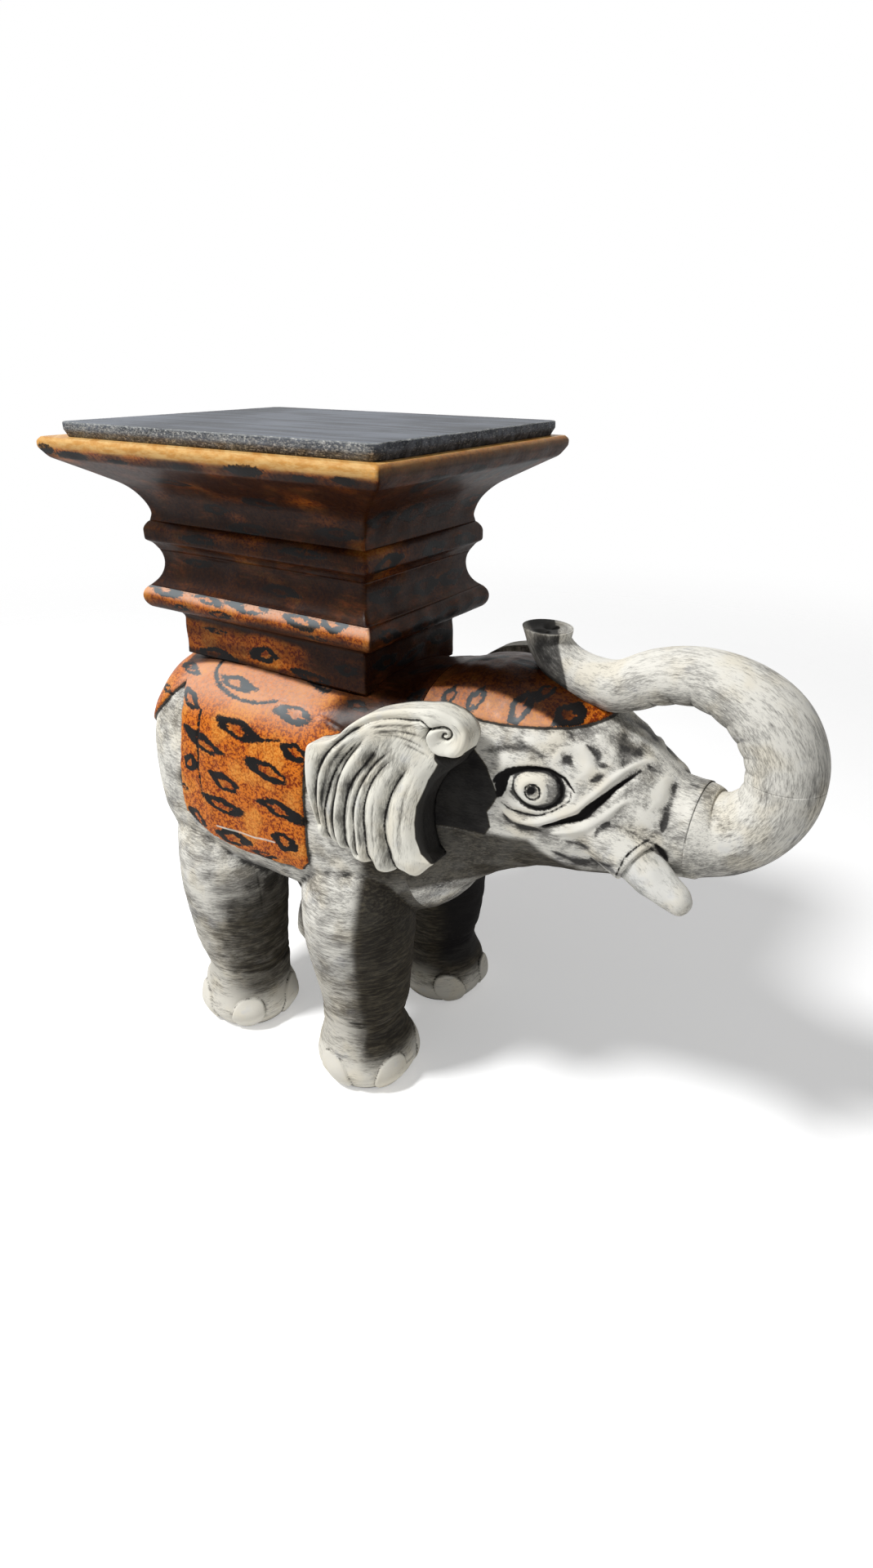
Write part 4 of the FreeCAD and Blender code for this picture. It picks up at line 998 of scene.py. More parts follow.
def clothMarks(points, normals):
    # signed distances to the blanket and head cloth, the rings, black lines and the chalk line
    side = points[:, [0, 2]]
    blanket = insideOutline(side, body["blanket"])
    (bossX, bossZ), (bossLong, bossHigh) = body["boss"]
    boss = 1 - np.hypot((side[:, 0] - bossX) / bossLong, (side[:, 1] - bossZ) / bossHigh)
    blanket = np.where(side[:, 0] > 20, np.minimum(blanket, -boss * bossLong), blanket)
    headCloth = insideOutline(side, body["headCloth"])
    ink, heart = spotInk(points, normals, clothRings())
    drawn = np.full(len(points), noInk)
    for line in blanketLines:
        d, along = lineDistanceAlong(side, line)
        drawn = np.maximum(drawn, 1.15 * (1 - 0.35 * along) - d)
    drawn[points[:, 1] > 0] = noInk
    chalk = 0.55 - lineDistance(side, chalkLine)
    chalk[points[:, 1] > 0] = noInk
    return blanket, headCloth, np.maximum(ink, drawn), heart, chalk, drawn


def bodyPaint(points, normals):
    # pale and dark of the grey wash, with undersides and faces towards the head painted darker as shade,
    # and the neck behind the ear painted black-brown as shade
    x, y, z = points.T
    toneAndShading = ripple(points, 34, 91) * 0.22 + ripple(points, 14, 92) * 0.16
    toneAndShading -= 0.55 * smoothStep(-0.2, -0.8, normals[:, 2])
    toneAndShading -= 0.25 * smoothStep(0.4, 0.9, normals[:, 0])
    paintedShade = 0.85 * smoothStep(84, 98, x) * smoothStep(-0.9, 0.1, normals[:, 2])
    paintedShade = np.maximum(paintedShade, 0.5 * smoothStep(84, 100, x))
    # painted shade: haunches darken and turn browner towards the legs, most on the left side and to the
    # front
    level = smoothStep(165, 112, z)
    left = smoothStep(-6, 6, y)
    haunch = 0.24 + 0.42 * left + 0.34 * smoothStep(0.1, 0.85, normals[:, 0])
    toneAndShading -= level * (0.45 * smoothStep(0.1, 0.85, normals[:, 0]) + 0.5 * left)
    return toneAndShading, np.maximum(paintedShade, haunch * level)


def meetNeighbours(points):
    # the body's skin meets the head's and the legs' exactly where they are glued
    half, low, high, square = hullAt(points[:, 0])
    mid, rise = (low + high) / 2, (high - low) / 2
    part = (np.abs(points[:, 1] / half) ** square
            + np.abs((points[:, 2] - mid) / rise) ** square) ** (-1 / square)
    pull = smoothStep(108, 116, points[:, 0]) * (np.abs(part - 1) < 0.08)
    points[:, 1] += points[:, 1] * (part - 1) * pull
    points[:, 2] += (points[:, 2] - mid) * (part - 1) * pull
    for name, rows, footX, hand, nails in limbList:
        rx, ry, dx, dy = legSection(points[:, 2], legs[rows])
        ox, oy = points[:, 0] - footX - dx, points[:, 1] - hand * (legs["spread"] + dy)
        part = 1 / np.maximum(np.hypot(ox / rx, oy / ry), 1e-6)
        pull = smoothStep(122, 110, points[:, 2]) * (np.abs(part - 1) < 0.1)
        points[:, 0] += ox * (part - 1) * pull
        points[:, 1] += oy * (part - 1) * pull


def clothPaint(points, normals):
    # the shadow that the pedestal casts on the cloth is painted in, the cloth is darker towards the rump,
    # and a pale glare is painted on the top of the blanket
    x, y, z = points.T
    foot = np.hypot(np.maximum(np.abs(x) - pedestal["halfLong"], 0),
                    np.maximum(np.abs(y) - pedestal["halfWide"], 0))
    shadowAndStain = 0.9 * smoothStep(5.5, 1.0, foot) * (z > 285)
    shadowAndStain = np.maximum(shadowAndStain, smoothStep(50, 74, x) * smoothStep(-80, -68, y) * (z > 280))
    shadowAndStain = np.maximum(shadowAndStain, 0.8 * smoothStep(66, 84, x) * smoothStep(270, 285, z))
    shadowAndStain = np.maximum(shadowAndStain, 0.55 * smoothStep(-84, -112, x))
    paintedGlare = (0.8 * smoothStep(0.35, 0.75, normals[:, 2]) * smoothStep(-88, -60, x) * smoothStep(70, 40, x)
             * (1 - shadowAndStain))
    return shadowAndStain, paintedGlare


def buildBody():
    hullX = np.concatenate([np.linspace(-121.5, -100, 16), np.linspace(-98, 126, 90)])
    shells = [np.stack([hullRing(x, 160) for x in hullX])]
    for name, rows, footX, hand, nails in limbList:
        shells.append(legRings(legs[rows], footX, hand, np.linspace(84, 197, 44), 96))
    points, quads = voxelUnion(shells, body["voxel"])
    points = relaxed(points, quads, 2)
    meetNeighbours(points)
    normals = vertexNormals(points, quads)
    blanket, headCloth, ink, heart, chalk, drawn = clothMarks(points, normals)
    lift = (body["blanketRelief"] * smoothStep(-0.7, 0.7, blanket)
            + body["clothRelief"] * smoothStep(-0.7, 0.7, headCloth) * (points[:, 0] > 90))
    seam = smoothStep(0.9, 0.0, np.abs(np.abs(points[:, 1]) - body["flankAt"])) * 0.25
    uneven = ripple(points, 38, 31) * 0.35 + ripple(points, 13, 32) * 0.16
    edges = smoothStep(116.5, 112, points[:, 0]) * smoothStep(106, 112, points[:, 2])
    lift = np.minimum(lift, 2.4) + (uneven - seam - 0.5 * smoothStep(-0.4, 0.6, drawn)) * edges
    underPlinth = (np.abs(points[:, 0]) < 80.2) & (np.abs(points[:, 1]) < 51) & (points[:, 2] > 290)
    points = points + normals * lift[:, None]
    points[underPlinth, 2] = np.minimum(points[underPlinth, 2], 298.9)
    toneAndShading, paintedShade = bodyPaint(points, normals)
    shadowAndStain, paintedGlare = clothPaint(points, normals)
    flow = np.column_stack([points[:, 0] * 0.6 + points[:, 1] * 0.3, points[:, 1] * 0.7, points[:, 2]])
    level = smoothStep(165, 112, points[:, 2])[:, None]
    flow = flow * (1 - level) + points * legs["strokes"] * level
    hollow = hollowness(points, quads, 22) * smoothStep(105, 117, points[:, 2])
    marks = {"paintedGlare": paintedGlare, "hollow": hollow, "ink": ink, "heart": heart,
             "cloth": np.maximum(blanket, headCloth),
             "chalk": chalk, "toneAndShading": toneAndShading, "paintedShade": paintedShade, "shadowAndStain": shadowAndStain}
    cutPieces(points, quads, marks, flow)
    print("body made", len(points))


def cutPieces(points, quads, marks, flow):
    # saws the skin at the glue joints; each piece is closed again with flat faces
    whole = bmesh.new()
    rough = bpy.data.meshes.new("whole")
    rough.from_pydata(points.tolist(), [], quads.tolist())
    for key, values in marks.items():
        rough.attributes.new(key, "FLOAT", "POINT").data.foreach_set("value",
                np.asarray(values, np.float32))
    rough.attributes.new("flow", "FLOAT_VECTOR", "POINT").data.foreach_set("vector",
            np.asarray(flow, np.float32).ravel())
    whole.from_mesh(rough)
    half = body["flankAt"]
    neck, belly = ((body["neckAt"], 0, 0), (1, 0, 0)), ((0, 0, body["legJoint"]), (0, 0, -1))
    saws = {
        "torso_core": [neck, belly, ((0, half, 0), (0, 1, 0)), ((0, -half, 0), (0, -1, 0))],
        "right_flank": [((0, -half, 0), (0, 1, 0)), belly, neck],
        "left_flank": [((0, half, 0), (0, -1, 0)), belly, neck],
    }
    for name, cuts in saws.items():
        part = whole.copy()
        for place, outward in cuts:
            geometry = part.verts[:] + part.edges[:] + part.faces[:]
            done = bmesh.ops.bisect_plane(part, geom=geometry, dist=0.0005, plane_co=place,
                                          plane_no=outward, clear_outer=True)
            rim = [e for e in done["geom_cut"] if isinstance(e, bmesh.types.BMEdge) and e.is_boundary]
            if rim:
                for lid in bmesh.ops.holes_fill(part, edges=rim, sides=0)["faces"]:
                    for e in lid.edges:
                        e.smooth = False
        for face in part.faces:
            face.smooth = len(face.verts) < 12
        mesh = bpy.data.meshes.new(name + ".carved")
        for v in part.verts:
            v.co = Vector((v.co.x / 1000 + stoolCentre, v.co.y / 1000, v.co.z / 1000))
        part.to_mesh(mesh)
        part.free()
        piece = bpy.data.objects.new(name + ".carved", mesh)
        bpy.context.scene.collection.objects.link(piece)
        mesh.materials.append(materials["body"])
        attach(piece, "root")
        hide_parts(name)
    whole.free()
    bpy.data.meshes.remove(rough)


def buildLegs():
    # four legs with a wrinkled skin, a crease over the foot and three nails each
    for name, rowsName, footX, hand, nailsName in limbList:
        heights = np.concatenate([np.linspace(0, 3, 5), np.linspace(3.8, 105, 120)])
        count = 250
        grid = legRings(legs[rowsName], footX, hand, heights, count)
        rows = len(heights)
        points = grid.reshape(-1, 3)
        faces = gridFaces(rows, count)
        normals = vertexNormals(points, faces)
        z = points[:, 2]
        bearing = np.degrees(np.arctan2(points[:, 1] - hand * legs["spread"], points[:, 0] - footX))
        turned = np.radians(bearing * -hand)
        soft = smoothStep(0, 5, z) * smoothStep(105, 98, z)
        lift = (ripple(points, 30, 41 + int(abs(footX))) * 0.45
                + ripple(points * [0.5, 0.5, 1], 9, 42) * 0.2) * soft
        # crease that slants over the foot, and a short one above it
        tilt = 53 + 4.0 * np.sin(turned + 2.6)
        share = 0.4 + 0.6 * (0.5 + 0.5 * np.sin(turned * 1.5 + 0.7))
        lift -= 1.2 * np.exp(-((z - tilt) / 1.7) ** 2) * share
        lift -= 0.5 * np.exp(-((z - tilt - 6 - 2 * np.sin(turned * 2)) / 1.3) ** 2)
        toneAndShading = (0.60 * smoothStep(tilt + 1, tilt - 5, z)
                - 0.55 * np.exp(-((z - tilt - 3.5) / 5.0) ** 2) * share)
        toneAndShading += (ripple(points * [0.7, 0.7, 1], 26, 93) * 0.26
                 + ripple(points * [0.4, 0.4, 2.2], 12, 94) * 0.24)
        # painted shade on the side of the leg towards the head, at the floor and on the side towards the
        # body
        toneAndShading -= (0.75 * smoothStep(0.1, 0.85, normals[:, 0]) * smoothStep(24, 46, z)
                 + 0.55 * smoothStep(6, 1, z) + 0.35 * smoothStep(0.0, 0.9, normals[:, 1] * -hand))
        nailInk = np.full(len(points), noInk)
        heart = np.zeros(len(points))
        for k, angle in enumerate(legs[nailsName]):
            turn = angle if hand < 0 else -angle
            away = np.radians((bearing - turn + 180) % 360 - 180) * legs["radius"] * 0.96
            lean = (-0.28, 0.22, 0.3)[k] * -hand
            u = (away - lean * (z - 14)) / legs["nailWidth"]
            v = (z - 15.5) / np.where(z > 15.5, legs["nailHeight"] * 1.12, legs["nailHeight"] * 1.15)
            size = (np.abs(u) ** 2.3 + np.abs(v) ** 2.3) ** (1 / 2.3)
            d = (1 - size) * legs["nailWidth"]
            lift += np.where(d > -1.2,
                             smoothStep(-0.9, 0.8, d) * legs["nailProud"]
                             * (1 - 0.5 * np.clip(size, 0, 1) ** 2), 0)
            lift -= 0.4 * np.exp(-((d + 0.9) / 0.7) ** 2)
            nailInk = np.maximum(nailInk, 0.1 + 0.25 * np.sin(away * 0.5 + k) - np.abs(d + 0.4))
            heart = np.maximum(heart, smoothStep(-0.2, 2.0, d))
        toneAndShading = toneAndShading * (1 - 0.5 * heart) + 0.4 * heart
        points = points + normals * lift[:, None] * smoothStep(105, 101, z)[:, None]
        points[:, 2] = np.maximum(points[:, 2], 0.0)
        points[z == 0, 2] = 0
        hollow = hollowness(points, faces, 22) - heart * 0.4
        hollow *= smoothStep(105, 92, z)
        # the top of the leg takes the body's paint and painted shade, and the wash was brushed round the
        # leg
        haunchToneAndShading, haunchPaintedShade = bodyPaint(points, normals)
        top = smoothStep(66, 103, z)
        toneAndShading = toneAndShading * (1 - top) + haunchToneAndShading * top
        paintedShade = haunchPaintedShade * smoothStep(12, 44, z) * (1 - heart)
        strokes = points * legs["strokes"]
        caps = endCaps(rows, count)
        makePiece(name + ".carved", points, faces, [name], materials["legs"], caps,
                  {"hollow": hollow, "ink": nailInk, "toneAndShading": toneAndShading, "paintedShade": paintedShade}, strokes)
    print("legs made")


# head: carved lids, cheeks and tusk sheaths

head = {
    "eye": (202.6, 267.6), "ball": (14.4, 12.0), "pupil": (201.0, 266.2), "spot": (200.3, 267.0),
    "corner": [(176.5, 269.5), (181, 273.5), (186, 275), (184.5, 269), (184, 263), (182, 258.5), (179, 257),
               (177.5, 263)],
    # carved and painted lines of the right side; their tone paints highlights on the ridges and shade in
    # the cuts, and the ink of the first line the shadow under the upper lid:
    # (half widths at start, middle, end), depth, ink, tone with painted light and shade, line in x and
    # height
    "marks": [
        ((2.9, 1.7, 1.0), 1.5, 0.85, -0.5,
         [(177, 267), (179, 270.5), (187, 275.5), (194, 278), (200, 279), (207, 279.5), (212, 278),
          (217, 276), (221, 272), (224, 269)]),
        ((0.8, 1.1, 0.7), 0.7, 0.55, -0.5,
         [(222, 269), (222, 264), (218, 259.5), (211, 254.5), (204, 251), (196, 250.5), (188, 251.5),
          (182, 255)]),
        ((1.5, 2.2, 1.6), -0.4, 0, 0.9,
         [(216, 260), (212, 256), (205, 253.5), (196, 253.5), (189, 256), (185, 260)]),
        ((1.8, 2.7, 2.2), -1.7, 0, 1.1,
         [(177, 257), (182, 253), (189, 247), (197, 245), (206, 247), (215, 252), (225, 258), (231, 264),
          (235, 269), (241, 277), (247, 282), (254, 284)]),
        ((1.4, 3.3, 1.4), 3.4, 0.95, -0.5,
         [(207, 244.5), (214, 247), (221, 251), (229, 254.5), (234, 261), (240, 268), (245, 274),
          (252, 280)]),
        ((1.5, 2.6, 2.0), -1.3, 0, 0.9,
         [(213, 241), (225, 245), (234, 250), (241, 256), (247, 263), (252, 267)]),
        ((2.2, 3.6, 2.2), 0.6, 0, -0.7, [(184, 247), (189, 242.5), (198, 241.5), (206, 241)]),
        ((2.4, 2.4, 2.4), -0.4, 0, 0.9,
         [(209, 284), (211, 289), (215, 292), (221, 290.5), (227, 286), (228, 280), (223, 276)]),
        ((3.6, 4.4, 3.6), 0.6, 0, -1.3, [(215, 285), (217, 287.5)]),
        ((1.6, 2.4, 1.6), 0.8, 0, -1.0, [(223, 293), (229, 289), (232, 284.5), (237, 283)]),
        ((1.4, 2.0, 1.4), 0.6, 0, -0.9, [(231, 276), (236, 279)]),
        ((1.6, 2.2, 1.6), 0.5, 0, -0.9, [(239, 245), (240, 249), (244, 253.5)]),
        ((1.6, 2.4, 1.6), 0.4, 0, -0.9, [(222, 237.5), (228, 237), (235, 235)]),
        ((2.0, 3.2, 2.0), 0.4, 0, -0.9, [(213, 227), (220, 224), (229, 222), (240, 226.5), (251, 229)]),
        ((2.0, 3.4, 2.0), 1.2, 0, -1.1, [(269, 276), (271, 270), (271.5, 266), (272, 260), (272, 252)]),
        ((1.2, 1.8, 1.2), 0.9, 0, -0.8, [(254, 282.5), (261, 279), (267, 276)]),
        ((2.2, 3.6, 2.2), -0.4, 0, 0.9, [(264, 277), (266, 272), (266, 267), (263, 262)]),
        ((2.6, 3.8, 2.6), -0.4, 0, 0.9, [(258, 262), (262, 257), (266, 253)]),
        ((2.0, 3.2, 2.4), -0.3, 0, 0.9, [(256, 246), (255, 240), (254, 233)]),
        ((1.8, 2.8, 1.8), -0.5, 0, 0.9, [(219, 239), (229, 243.5), (237, 248.5)]),
        ((2.0, 2.6, 2.0), -0.5, 0, 0.8, [(222, 230.5), (229, 229.5), (235, 230)]),
        ((2.0, 3.4, 2.4), 0.3, 0, -0.8, [(166, 283), (182, 287.5), (193, 290), (203, 286)]),
        ((2.4, 3.2, 2.0), 0.3, 0, -0.8, [(232, 296), (238, 293), (244, 290), (249, 287)]),
        ((2.2, 2.8, 2.2), -0.5, 0, 0.9, [(190, 294), (200, 293), (207, 296), (214, 295)]),
        ((1.6, 2.4, 1.6), -0.4, 0, 0.8, [(225, 297), (233, 293.5), (238, 288)]),
        ((0.9, 1.0, 0.8), 0.7, 0.55, -0.5,
         [(266, 246), (262, 242), (259, 237), (257.5, 231), (256, 225), (254, 220)]),
        ((1.6, 2.6, 1.6), 1.4, 0.6, -1.0, [(270, 243), (273.5, 239), (277, 234)]),
        ((2.2, 4.0, 2.2), 0.2, 0, -0.7, [(262, 214), (250, 211), (236, 207), (222, 205)]),
    ],
    "shade": [(112, 296), (150, 292), (160, 284), (171, 275), (176, 266), (179.5, 258), (176, 251),
              (173, 246), (175, 236), (171, 229), (112, 229)],
    "throat": [(112, 231), (171, 231), (186, 232.5), (198, 233), (204, 227), (213, 220), (223, 214),
               (233, 208), (244, 200), (112, 170)],
}


def carvedEye(side, onSide, lift, toneAndShading, inked):
    # a ball sunk in its socket, ringed pupil, dark corner behind it; the ball is painted pale at the top
    # left and dark round its lower right rim, the pupil hole dark above and pale below, and the corner
    # black, as painted light and shade
    a, b = side[:, 0] - head["eye"][0], side[:, 1] - head["eye"][1]
    inEye = onSide > 0.9
    socket = 1 - (np.abs((a + 1) / 23) ** 1.8 + np.abs(b / 13.5) ** 1.9) ** 0.55
    lift = np.where(inEye, lift - 2.6 * smoothStep(0.0, 0.22, socket), lift)
    size = np.hypot(a / head["ball"][0], b / head["ball"][1])
    under = smoothStep(279.5, 277, side[:, 1])
    lift += np.where(inEye & (size < 1), np.sqrt(np.clip(1 - size ** 2, 0, 1)) * 5.2 * under, 0)
    away = np.hypot(side[:, 0] - head["pupil"][0], side[:, 1] - head["pupil"][1])
    lift += np.where(inEye, 0.5 * np.exp(-((away - 6.8) / 1.3) ** 2)
                     - 0.5 * np.exp(-((away - 4.6) / 0.8) ** 2) - 0.9 * smoothStep(3.6, 2.6, away), 0)
    corner = insideOutline(side, head["corner"])
    lift = np.where(inEye, lift - 1.8 * smoothStep(-0.5, 2.5, corner), lift)
    rim = np.where((size > 0.6) & (size < 1.15), np.exp(-((size - 1.0) / 0.17) ** 2), 0)
    low = smoothStep(-0.9, 0.4, (a / head["ball"][0] - b / head["ball"][1]) / 1.4)
    toneAndShading += np.where(inEye & (size < 1.1), -0.35 + 1.3 * np.exp(-((away - 7.0) / 1.4) ** 2)
                     - 1.1 * rim * (0.35 + low) - 0.5 * low * (away > 9), 0)
    toneAndShading += np.where(inEye & (away < 3.6), -1.2
                     + 1.1 * smoothStep(-0.5, 2.2, (side[:, 0] - head["pupil"][0])
                                        - (side[:, 1] - head["pupil"][1])), 0)
    eyeInk = np.maximum(0.55 - np.abs(away - 4.5), 2.3
                        - np.hypot(side[:, 0] - head["spot"][0], side[:, 1] - head["spot"][1]))
    eyeInk = np.maximum(eyeInk, np.where((b < 2) | (a > 0), (0.35 + 0.5 * low)
                                         - np.abs(size - 1.0) * 12.5, noInk))
    eyeInk = np.where(inEye & (under > 0.5), eyeInk, noInk)
    inked = np.where(inEye, np.maximum(np.maximum(inked, eyeInk), np.minimum(corner, 2.0)), inked)
    return lift, toneAndShading, inked


def withSheaths(points, ends):
    # round the root of each tusk, a low half round along the tusk's own line
    base, way = np.array(tusks["base"]), np.array(tusks["way"], float)
    way /= np.linalg.norm(way)
    outward = np.array([0, -1.0, 0]) + way * way[1]
    outward /= np.linalg.norm(outward)
    across = np.cross(way, outward)
    offset = np.where((points[:, 1] > 0)[:, None], points * [1, -1, 1], points) - base
    along, out, beside = offset @ way, offset @ outward, offset @ across
    want = np.interp(-along, [0, 10, 28, 52], [15.6, 16.3, 17.8, 19.4])
    roundOut = np.sqrt(np.clip(want ** 2 - beside ** 2, 0, None))
    mild = smoothStep(0.6, -0.6, along) * smoothStep(-50, -16, along) * (points[:, 0] > 200)
    push = np.clip(roundOut - out, 0, 18) * mild * (np.abs(beside) < want) * (out > -14)
    shift = outward * push[:, None]
    shift[:, 1] *= np.where(points[:, 1] > 0, -1, 1)
    return points + shift * ends[:, None]


def buildHead():
    stations = np.linspace(body["neckAt"], 285, 215)
    count = 460
    points = np.stack([hullRing(x, count) for x in stations]).reshape(-1, 3)
    rows = len(stations)
    faces = gridFaces(rows, count)
    normals = vertexNormals(points, faces)
    right = np.where((points[:, 1] > 0)[:, None], points * [1, -1, 1], points)
    side = right[:, [0, 2]]
    ends = smoothStep(118, 121.5, points[:, 0]) * smoothStep(285, 279, points[:, 0])
    headCloth, ink, heart = clothMarks(points, normals)[1:4]
    onSide = smoothStep(-4, -16, right[:, 1])
    carved, inked, toneAndShading = taperedMarks(side, head["marks"])
    lift = body["clothRelief"] * smoothStep(-0.6, 0.6, headCloth) + carved * onSide * ends
    lift += (ripple(right, 30, 51) * 0.4 + ripple(right, 11, 52) * 0.2) * ends
    lift, toneAndShading, inked = carvedEye(side, onSide, lift, toneAndShading, inked)
    ink = np.where(headCloth < 0, np.where(onSide > 0.3, inked, noInk), ink)
    points = points + normals * lift[:, None]
    points = withSheaths(points, ends)
    points = relaxed(points, faces, 3) * 0.5 + points * 0.5
    points[:count], points[-count:] = hullRing(stations[0], count), hullRing(stations[-1], count)
    hollow = calmEnds(hollowness(points, faces, 34), count) * smoothStep(285, 270, points[:, 0])
    # painted shade: the neck behind the ear black, the throat under the jaw and the underside black-brown
    edge = insideOutline(side, head["shade"])
    paintedShade = np.where(right[:, 1] < -20, smoothStep(-0.8, 0.8, edge), 0)
    throat = insideOutline(side, head["throat"])
    paintedShade = np.maximum(paintedShade, 0.62 * smoothStep(-3.0, 4.0, throat))
    paintedShade = np.maximum(paintedShade, 0.55 * smoothStep(-0.35, -0.9, normals[:, 2])
                       * smoothStep(262, 235, points[:, 0]))
    toneAndShading = toneAndShading * onSide + ripple(right, 30, 95) * 0.28 + ripple(right, 12, 96) * 0.22 + 0.12
    # the underside and the very top are painted darker as shade
    toneAndShading -= 0.7 * smoothStep(-0.2, -0.85, normals[:, 2]) + 0.35 * smoothStep(0.9, 1.0, normals[:, 2])
    # painted shadow of the pedestal on the head cloth, and a painted glare on its lit side
    shadowAndStain = (headCloth > -2) * np.maximum(0.5 * smoothStep(168, 120, points[:, 0]),
                                          0.86 * smoothStep(-36, -32.5, right[:, 1])
                                          * smoothStep(222, 205, points[:, 0]))
    paintedGlare = 0.62 * smoothStep(-33, -37, points[:, 1]) * (1 - shadowAndStain)
    flow = np.column_stack([points[:, 0] * 0.8, points[:, 1], points[:, 2]])
    caps = endCaps(rows, count)
    makePiece("head_block.carved", points, faces, ["head_block"], materials["body"], caps,
              {"hollow": hollow, "ink": ink, "heart": heart, "cloth": np.maximum(headCloth, -30),
               "chalk": np.full(len(points), noInk),
               "paintedShade": paintedShade, "toneAndShading": toneAndShading, "shadowAndStain": shadowAndStain, "paintedGlare": paintedGlare}, flow)
    print("head made", len(points))


# trunk: one tube sawn in two, flared hollow tip; x, height, radius

trunk = {
    "rows": [(285, 242.9, 29.5), (301.2, 245.7, 24.9), (315.7, 256.7, 22.5), (325, 274.2, 21.7),
             (325, 296.3, 22),
             (314.6, 315.6, 21.8), (296.6, 328.5, 19.6), (273.4, 334, 17.3), (250, 330.0, 16.9),
             (227.4, 320.0, 16.2), (207.0, 320.6, 15.2),
             (190.5, 327.0, 14.2), (180.6, 337.5, 13.6), (178.5, 347.2, 15.4)],
    "jointHeight": 285.2, "count": 190, "rowCount": 330, "tipWay": (0.05, 0.999), "nostril": (5.6, 1.0),
         "nostrilSize": 4.6,
}


def buildTrunk():
    line = throughRows(trunk["rows"], trunk["rowCount"])
    run = np.gradient(line[:, :2], axis=0)
    run /= np.linalg.norm(run, axis=1)[:, None]
    run[0] = (1, 0)
    turn = smoothStep(0.94, 1.0, np.linspace(0, 1, len(line)))[:, None]
    run = run * (1 - turn) + np.array([trunk["tipWay"]]) * turn
    run /= np.linalg.norm(run, axis=1)[:, None]
    side = np.column_stack([-run[:, 1], run[:, 0]])
    a = np.linspace(0, 2 * math.pi, trunk["count"], endpoint=False)
    gone = runLength(line[:, :2])
    swell = (0.35 * np.sin(a[None] * 2 + gone[:, None] / 37)
             + 0.25 * np.sin(a[None] * 3 - gone[:, None] / 21))
    inner = smoothStep(0.2, 0.9, np.cos(a))[None]
    folds = inner * (np.abs(np.sin(gone[:, None] / 4.6 + 0.4 * np.sin(a[None] * 2))) ** 0.6 - 0.7) * 0.8
    folds = folds * (smoothStep(10, 40, gone) * smoothStep(gone[-1] - 20, gone[-1] - 60, gone))[:, None]
    start, last = smoothStep(0, 16, gone)[:, None], smoothStep(gone[-1], gone[-1] - 8, gone)[:, None]
    lip = smoothStep(gone[-1] - 12, gone[-1] - 1, gone)[:, None] * 0.5
    r = line[:, 2:3] - 0.7 * start + (swell * 0.5 + folds) * start * last + lip
    x = line[:, :1] + side[:, :1] * r * np.cos(a)
    z = line[:, 1:2] + side[:, 1:2] * r * np.cos(a)
    grid = np.stack([x, r * np.sin(a), z], -1)
    flowGrid = np.stack([np.repeat(gone[:, None], len(a), 1) * 0.8 + 228, r * np.sin(a), r * np.cos(a)
                         + 242.9], -1)
    joint = int(np.argmax(line[:, 1] > trunk["jointHeight"]))
    # end face: rounded over, dished, with two nostrils cut into it
    tip, tipFlow = [], []
    centre = np.array([line[-1, 0], 0, line[-1, 1]])
    up = np.array([run[-1, 0], 0, run[-1, 1]])
    spokes = grid[-1] - centre
    reach = r[-1]
    for share in (0.985, 0.96, 0.93, 0.89, 0.84, 0.78, 0.71, 0.63, 0.55, 0.46, 0.37, 0.28, 0.19, 0.1, 0.03):
        u, v = reach * share * np.cos(a), reach * share * np.sin(a)
        holes = np.hypot((np.abs(v) - trunk["nostril"][0]) / 1.1, u
                         - trunk["nostril"][1]) / trunk["nostrilSize"]
        drop = (0.25 - 0.35 * math.sin(math.pi * min((1 - share) / 0.14, 1))
                + 1.6 * smoothStep(0.86, 0.5, share) + 3.4 * smoothStep(1.05, 0.45, holes))
        tip.append(centre + spokes * share - up * drop[:, None])
        tipFlow.append(flowGrid[-1] * [1, share, share])
    for name, low, high in (("trunk_lower", 0, joint + 1), ("trunk_upper", joint, len(line))):
        part, strokes = grid[low:high], flowGrid[low:high]
        if name == "trunk_upper":
            part = np.concatenate([part, np.array(tip)])
            strokes = np.concatenate([strokes, np.array(tipFlow)])
        rows, count = part.shape[:2]
        points = part.reshape(-1, 3)
        faces = gridFaces(rows, count)[:, ::-1]
        normals = vertexNormals(points, faces)
        hollow = calmEnds(hollowness(points, faces, 26), count)
        if name == "trunk_lower":
            hollow *= np.repeat(smoothStep(2, 22, gone[low:high]), count)
        away = np.repeat(smoothStep(0, 45, gone[low:high]), count) if name == "trunk_lower" else 1.0
        toneAndShading = 0.12 + (ripple(points, 30, 95) * 0.28 + ripple(points, 12, 96) * 0.22) * (1 - 0.72 * away)
        # painted light and shade: pale on top, dark below and along the outside of the bend
        toneAndShading += (0.38 * smoothStep(0.1, 0.85, normals[:, 2]) * away
                 - 0.8 * smoothStep(-0.2, -0.88, normals[:, 2]))
        toneAndShading -= 0.55 * smoothStep(0.55, 0.98, normals[:, 0]) * smoothStep(310, 285, points[:, 2]) * away
        # painted shadow of the pedestal on the tip
        across = (0.836 * (points[:, 0] - 178.5) + 0.549 * points[:, 1] - 5.3
                  - 0.25 * np.maximum(338 - points[:, 2], 0))
        toneAndShading -= (1.15 * smoothStep(0.8, -0.8, across) * smoothStep(208, 200, points[:, 0])
                 * smoothStep(-19, -11, across))
        ink = np.full(len(points), noInk)
        if name == "trunk_upper":
            ring = np.repeat(np.arange(rows), count)
            first = rows - len(tip)
